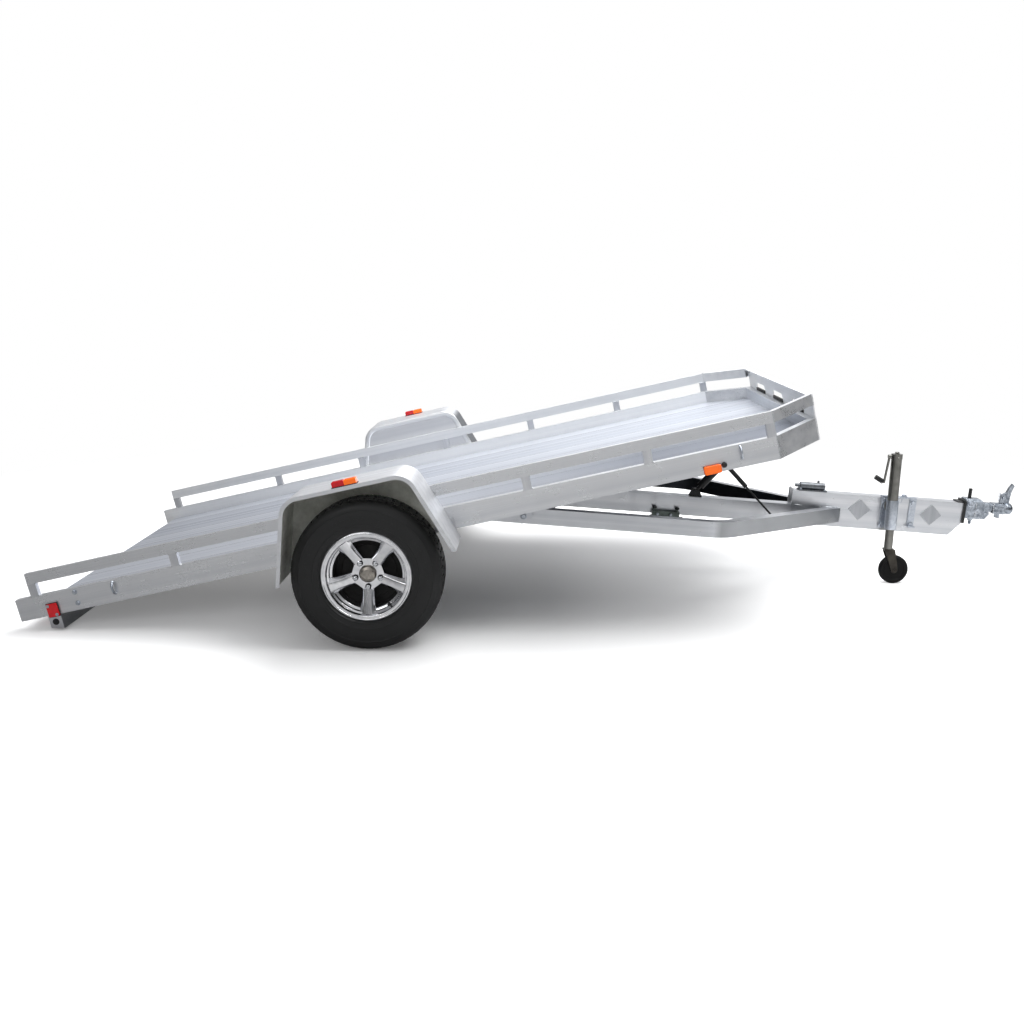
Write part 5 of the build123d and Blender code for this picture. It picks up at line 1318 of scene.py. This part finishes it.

# %% [markdown]
# ## Wheel arches
# The inside of each fender is lined with painted shade: a thin pale matt skin just inside the CAD sheet, set
# there for the shade inside the arch in place of the mirror of the bare sheet. The arch's outline is moved
# inward, extruded across the wheel, closed with a wall above the axle, and given its thickness by a Solidify
# modifier that is then applied.

# %% Arch outline
ARCH = [(-0.384, 0.040), (-0.268, 0.405), (0.282, 0.405), (0.407, 0.035)]
ARCH_ROUND = 0.095
ARCH_INSET = 0.0042
ROUND_STEPS = 12


def moved_line(first, second, inset):
    """Two points of an edge moved square to itself, into the arch."""
    run = Vector(second) - Vector(first)
    normal = Vector((run.y, -run.x)).normalized()
    return Vector(first) + normal * inset, Vector(second) + normal * inset


def crossing(one, two):
    """Where two lines meet."""
    (p, q), (r, s) = one, two
    a, b = q - p, s - r
    amount = ((r - p).x * b.y - (r - p).y * b.x) / (a.x * b.y - a.y * b.x)
    return p + a * amount


def arch_path(inset):
    """Side view of the fender's outline with round corners, pulled in by an inset."""
    edges = [moved_line(ARCH[i], ARCH[i + 1], inset) for i in range(3)]
    centres_on = [moved_line(ARCH[i], ARCH[i + 1], ARCH_ROUND) for i in range(3)]
    points = [edges[0][0]]
    for i in (0, 1):
        centre = crossing(centres_on[i], centres_on[i + 1])
        turns = []
        for edge in (edges[i], edges[i + 1]):
            run = (edge[1] - edge[0]).normalized()
            turns.append(math.atan2(run.x, -run.y))
        for k in range(ROUND_STEPS + 1):
            angle = turns[0] + (turns[1] - turns[0]) * k / ROUND_STEPS
            points.append(centre + (ARCH_ROUND - inset) * Vector((math.cos(angle), math.sin(angle))))
    return points + [edges[2][1]]


print("arch outline has", len(arch_path(ARCH_INSET)), "points")

# %% [markdown]
# ## Arch shade skins
# The inside of each fender has a pale matt skin of painted shade. It is the arch's outline set a little
# inward, stretched across the fender and given a thickness; a flat wall closes it above the axle.

# %% Arch shade skins
WALL_Y = 1.0192
ARCH_DEEP = 0.266
WALL_LOW = 0.100
SHADE_SKIN_THICK = 0.0009


def arch_skin(sign):
    """Skin of painted shade in one arch: the wrapped sheet and the inner wall above the axle."""
    path = arch_path(ARCH_INSET)
    inner = [(p.x, sign * WALL_Y, p.y) for p in path]
    made = outlined("arch_shade_skin", inner, strung(inner))
    start_edit(made)
    bpy.ops.mesh.select_all(action="SELECT")
    bpy.ops.mesh.extrude_region_move(TRANSFORM_OT_translate={"value": (0, sign * ARCH_DEEP, 0)})
    end_edit(made, 40)
    level = (Vector((0, WALL_LOW)), Vector((1, WALL_LOW)))
    ends = [crossing(edge, level) for edge in ((path[0], path[1]), (path[-2], path[-1]))]
    above = [p.x for p in ends[:1]] + [p.x for p in path if p.y > WALL_LOW] + [p.x for p in ends[1:]]
    heights = [WALL_LOW] + [p.y for p in path if p.y > WALL_LOW] + [WALL_LOW]
    wall = [(x, sign * WALL_Y, z) for x, z in zip(above, heights)]
    panel = outlined("arch_wall", wall, faces=[tuple(range(len(wall)))])
    skin = joined([made, panel], "arch_coating_%d" % sign)
    thick = skin.modifiers.new("thickness", "SOLIDIFY")
    thick.thickness = SHADE_SKIN_THICK
    thick.offset = 0
    bpy.context.view_layer.objects.active = skin
    bpy.ops.object.modifier_apply(modifier="thickness")
    start_edit(skin)
    return end_edit(skin, 40)


# Painted shade: a pale chalky matt skin, rough, that spreads what light reaches the arch.
ARCH_SHADE_SKIN = coated("arch shade skin", "f0f1ea", "cccdc5", 0.62, 3.0)
put(joined([arch_skin(1), arch_skin(-1)], "arch_shade_skins"), BED, "root", ARCH_SHADE_SKIN)
print("arch shade skins done")

# %% [markdown]
# ## Fender edges and stays
# The inner wall of each fender ends in a rolled edge, which shows as a bright line over the deck. A round
# bar along the arch's outline, pressed flat, gives the same oval roll as the folding machine. In front, a
# small plate stays each fender to the side rail: a box with its edges rounded and its foot set back.

# %% Fender edges and stays
EDGE_HALF = 0.014
EDGE_FLATTEN = 0.27
STAY_IN, STAY_OUT = 1.0155, 1.0205


def edge_roll(sign):
    """Rolled moulding along the top of a fender's inner wall: a bar flattened to a low oval."""
    path = [(p.x, 0, p.y) for p in arch_path(EDGE_HALF + 0.001)]
    roll = line_piece("edge_roll", [path], EDGE_HALF, sides=5)
    flat = Matrix.Scale(EDGE_FLATTEN, 4, Y_AXIS)
    roll.data.transform(Matrix.Translation((0, sign * BED_HALF, 0)) @ flat)
    return roll


def box_piece(name, low, high, bevel):
    """Box with rounded edges between two corners, in any order across the bed."""
    low_y, high_y = sorted((low[1], high[1]))
    low, high = Vector((low[0], low_y, low[2])), Vector((high[0], high_y, high[2]))
    bpy.ops.mesh.primitive_cube_add(size=1, location=(low + high) / 2)
    made = bpy.context.object
    made.name = name
    made.scale = high - low
    bpy.ops.object.transform_apply(location=True, rotation=True, scale=True)
    start_edit(made)
    bpy.ops.mesh.select_all(action="SELECT")
    bpy.ops.mesh.bevel(offset=bevel, segments=2)
    return end_edit(made)


def fender_stay(sign):
    """Plate from the fender to the rail, its foot set back."""
    stay = box_piece("fender_stay", (0.352, sign * STAY_IN, 0.040), (0.396, sign * STAY_OUT, 0.128), 0.0015)
    start_edit(stay)
    pick_faces(stay, lambda c, n: n.z < -0.9)
    bpy.ops.transform.translate(value=(0.010, 0, 0.006))
    return end_edit(stay)


rolls = joined([edge_roll(1), edge_roll(-1)], "fender_edge_rolls")
# the rolls take the brighter finish, painted light, so they show as a bright line
put(rolls, BED, "root", PAINTED_LIGHT_ALU)
stays = joined([fender_stay(1), fender_stay(-1)], "fender_stays")
put(stays, BED, "root", POST_ALU)
print("fender edges and stays done")

# %% [markdown]
# ## Lamp gaskets and plugs
# No lamp sits bare on metal: each has a black rubber gasket that shows as a thin dark outline and makes the
# lens stand off its face. The front side lamps have a round plug ahead of them where the wire goes in.

# %% Lamp gaskets and plugs
GASKET_THICK = 0.003


def flank_gasket(sign, start, end, y, low, high, grow):
    """Gasket behind a lamp on the side of a rail, standing out past the lens all round."""
    return box_piece("gasket", (start - grow, sign * y, low - grow),
                     (end + grow, sign * (y + GASKET_THICK), high + grow), 0.0012)


gaskets = []
for sign in (1, -1):
    gaskets.append(flank_gasket(sign, -1.514, -1.464, 1.019, 0.068, 0.130, 0.003))
    gaskets.append(flank_gasket(sign, 1.513, 1.589, 1.015, 0.0755, 0.111, 0.0008))
    gaskets.append(box_piece("gasket", (-0.042, sign * 1.242, 0.404), (0.070, sign * 1.284, 0.4085), 0.0015))
put(joined(gaskets, "lamp_gaskets"), BED, "root", SOFT_RUBBER)

plug_profile = [(0, 0), (0.0125, 0), (0.0125, 0.006), (0.011, 0.009), (0.0105, 0.016), (0.0085, 0.020),
                (0.004, 0.022), (0, 0.0225)]
plug_shape = turned_piece("plug_model", plug_profile, 28, Z_AXIS)
plugs = [at(1.604, sign * BED_HALF, 0.101, (0, sign, 0)) for sign in (1, -1)]
scattered(plug_shape, "lamp_plugs", plugs, BED, "root", SOFT_RUBBER)
discard(plug_shape)
print("side gaskets", len(gaskets))

# %% [markdown]
# ## Tail lamp gaskets
# Each tail lamp is an oval in the rear face of the beam. Its gasket is a round bar that follows the oval:
# two half circles set apart, with straight runs between them.

# %% Tail lamp gaskets
TAIL_U, TAIL_Y, TAIL_W = -1.5245, 0.825, 0.045
TAIL_STRAIGHT, TAIL_ROUND = 0.058, 0.0265
RING_STEPS = 40


def oval_ring(sign):
    """Gasket round one tail lamp, on the rear face of the beam: two half circles set apart."""
    path = []
    for i in range(RING_STEPS + 1):
        angle = 2 * math.pi * i / RING_STEPS
        half = 1 if math.cos(angle) > 0 else -1
        path.append((TAIL_U, sign * TAIL_Y + half * TAIL_STRAIGHT + TAIL_ROUND * math.cos(angle),
                     TAIL_W + TAIL_ROUND * math.sin(angle)))
    return path


tail_rings = line_piece("tail_lamp_gaskets", [oval_ring(sign) for sign in (1, -1)], 0.003)
put(tail_rings, BED, "root", SOFT_RUBBER)
print("tail gaskets done")

# %% [markdown]
# ## Hand slot shade strips
# The front panel has three slots to lift by. Over the lower lip of each lies a dark strip in the moulded
# rubber
# finish: painted shade, for the shade in the slot's lower half. Each strip is a rounded box with its two ends
# bevelled further.

# %% Hand slot shade strips
SLOT_LOW = 0.163
SLOT_PITCH = 0.446
STRIP_HALF = 0.113
PANEL_U = 2.073


def slot_shade_strip(y):
    """Dark strip of painted shade over the lower lip of one hand slot, ends rounded."""
    shade_strip = box_piece("slot_shade_strip", (PANEL_U - 0.0025, y - STRIP_HALF, SLOT_LOW - 0.006),
                      (PANEL_U + 0.0085, y + STRIP_HALF, SLOT_LOW + 0.029), 0.0024)
    start_edit(shade_strip)
    pick_edges(shade_strip, lambda a, b: (min(abs(a.y - y), abs(b.y - y)) > STRIP_HALF - 0.001
                                    and abs(a.x - b.x) > 0.004))
    bpy.ops.mesh.bevel(offset=0.004, segments=3)
    return end_edit(shade_strip)


# painted shade: a dark strip in the rubber finish in each slot
slot_strips = joined([slot_shade_strip(SLOT_PITCH * i) for i in (-1, 0, 1)], "slot_shade_strips")
put(slot_strips, BED, "root", SOFT_RUBBER)
print("slot shade strips done")

# %% [markdown]
# ## Jack detail
# A swivel jack hangs in a plated sleeve on its bracket. Its top is held by a bolt, a nipple takes grease,
# a ring pulls the pin that lets it swing, and ribs on the crank's grip keep wet hands from slipping. All
# of it rides on the jack's body, so that it swings up with the jack.

# %% Jack sleeve and fittings
sleeve_profile = [(0.0271, -0.043), (0.0300, -0.043), (0.0306, -0.041), (0.0306, 0.110), (0.0300, 0.112),
                  (0.0271, 0.112)]
nipple_profile = [(0, 0), (0.004, 0), (0.004, 0.003), (0.0025, 0.005), (0.0025, 0.009), (0.0032, 0.010),
                  (0.002, 0.013), (0, 0.013)]
CAP_TOP = 0.355
NIPPLE_V = 0.338
TUBE_R = 0.0285
sleeve = turned_piece("jack_sleeve", sleeve_profile, 48, Z_AXIS)
sleeve.data.transform(Matrix.Translation((JACK_T, JACK_Y, 0)))
put(sleeve, JACK, "jack", ZINC)
cap_bolt = hex_bolt("cap_bolt", 0.019, 0.008)
cap_bolt.data.transform(Matrix.Translation((JACK_T, JACK_Y, CAP_TOP)))
nipple = turned_piece("nipple", nipple_profile, 12, Z_AXIS)
nipple.data.transform(at(JACK_T, JACK_Y - TUBE_R, NIPPLE_V, RIGHT))
put(joined([cap_bolt, nipple], "jack_fittings"), JACK, "jack", JACK_ZINC)
print("jack sleeve and fittings done")

# %% [markdown]
# ## Pull ring and grip
# The ring of the swivel pin is one closed bar. The grip's ribs are six narrow turned rings along the
# crank's handle, since a bump would leave the outline of the grip smooth.

# %% Pull ring and grip
PIN_T, PIN_Y, PIN_V, PIN_RING_R = 1.962, -0.074, 0.108, 0.014
PIN_STEPS = 24
GRIP_START, GRIP_END = Vector((1.866, JACK_Y, 0.205)), Vector((1.818, JACK_Y, 0.233))
rib_profile = [(0.0118, -0.0018), (0.0134, -0.0008), (0.0134, 0.0008), (0.0118, 0.0018)]
turns = [2 * math.pi * i / PIN_STEPS for i in range(PIN_STEPS + 1)]
pin_ring = [(PIN_T + PIN_RING_R * math.cos(a), PIN_Y, PIN_V + PIN_RING_R * math.sin(a)) for a in turns]
pull_ring = line_piece("jack_pull_ring", [pin_ring], 0.0018, sides=4)
put(pull_ring, JACK, "jack", ZINC)

grip_ribs = []
for i in range(6):
    rib = turned_piece("rib", rib_profile, 24, Z_AXIS)
    rib.data.transform(at(*GRIP_START.lerp(GRIP_END, 0.14 + 0.15 * i), (GRIP_END - GRIP_START).normalized()))
    grip_ribs.append(rib)
put(joined(grip_ribs, "grip_ribs"), JACK, "jack", PLASTIC)
print("grip ribs", len(grip_ribs))

# %% [markdown]
# ## Coupler detail
# Two chromed bands clamp the coupler, a headed pin carries its lever, and a small coil spring closes it.
# The spring is a bar along a helix worked out turn by turn.

# %% Coupler detail
PIVOT_T, PIVOT_V = 2.527, 0.150
SPRING_T, SPRING_Y, SPRING_V = 2.516, 0.0185, 0.128
SPRING_R, SPRING_RISE = 0.0065, 0.0005
SPRING_TURNS, STEPS_A_TURN = 8, 12


def collar(t, half_y, low, high, thick):
    """Square clamp band round the coupler, open in the middle, with rounded corners."""
    points = [(t, -half_y, low), (t, -half_y, high), (t, half_y, high), (t, half_y, low), (t, -half_y, low)]
    return line_piece("collar", [points], thick, sides=4)


bands = [collar(2.377, 0.0425, 0.050, 0.117, 0.0028), collar(2.476, 0.0275, 0.068, 0.119, 0.0030)]
put(joined(bands, "coupler_bands"), TONGUE, "tongue", CHROME)
half_pin = [(0, 0.021), (0.007, 0.021), (0.008, 0.019), (0.008, 0.015), (0.0045, 0.015)]
pivot = turned_piece("pivot", [(r, -h) for r, h in half_pin] + half_pin[::-1], 20)
pivot.data.transform(Matrix.Translation((PIVOT_T, 0, PIVOT_V)))
put(pivot, TONGUE, "tongue", ZINC)
coil = []
for i in range(SPRING_TURNS * STEPS_A_TURN + 1):
    turn = i * 2 * math.pi / STEPS_A_TURN
    coil.append((SPRING_T + SPRING_R * math.cos(turn), SPRING_Y + SPRING_R * math.sin(turn),
                 SPRING_V + SPRING_RISE * i))
put(line_piece("latch_spring", [coil], 0.0012, sides=2), TONGUE, "tongue", ZINC)
print("coupler done")

# %% [markdown]
# ## Valve detail
# Under the bed, the valve that lets the tilt go gets two knurled knobs, cut by pushing out every other
# side, and two six-sided hose fittings.

# %% Valve detail
VALVE_LOW = -0.098
KNOB_PLACES, KNOB_Y, KNOB_RISE = (0.689, 0.809), -0.060, 0.066
FITTING_PLACES, FITTING_Y, FITTING_RISE = (0.705, 0.775), -0.078, 0.038
KNOB_SIDES = 18
knob_profile = [(0, 0), (0.0105, 0), (0.0115, 0.002), (0.0115, 0.008), (0.0100, 0.010), (0, 0.0105)]
fitting_profile = [(0, 0), (0.008, 0), (0.008, 0.006), (0.006, 0.007), (0.006, 0.014), (0, 0.014)]


def knob_model():
    """Valve knob, knurled by pushing out every other side."""
    knob = turned_piece("knob", knob_profile, KNOB_SIDES, Z_AXIS)
    start_edit(knob)
    pick_faces(knob, lambda c, n: abs(n.z) < 0.3 and int((math.atan2(c.y, c.x) + math.pi)
                                                         / (2 * math.pi) * KNOB_SIDES) % 2)
    bpy.ops.mesh.extrude_region_shrink_fatten(TRANSFORM_OT_shrink_fatten={"value": 0.0008})
    return end_edit(knob)


knobs, fittings = [], []
for t in KNOB_PLACES:
    knobs.append(knob_model())
    knobs[-1].data.transform(Matrix.Translation((t, KNOB_Y, VALVE_LOW + KNOB_RISE)))
put(joined(knobs, "valve_knobs"), TONGUE, "tongue", PLASTIC)
for t in FITTING_PLACES:
    fittings.append(turned_piece("fitting", fitting_profile, 6, Z_AXIS, 20))
    fittings[-1].data.transform(at(t, FITTING_Y, VALVE_LOW + FITTING_RISE, RIGHT))
put(joined(fittings, "valve_fittings"), TONGUE, "tongue", ZINC)
print("valve done")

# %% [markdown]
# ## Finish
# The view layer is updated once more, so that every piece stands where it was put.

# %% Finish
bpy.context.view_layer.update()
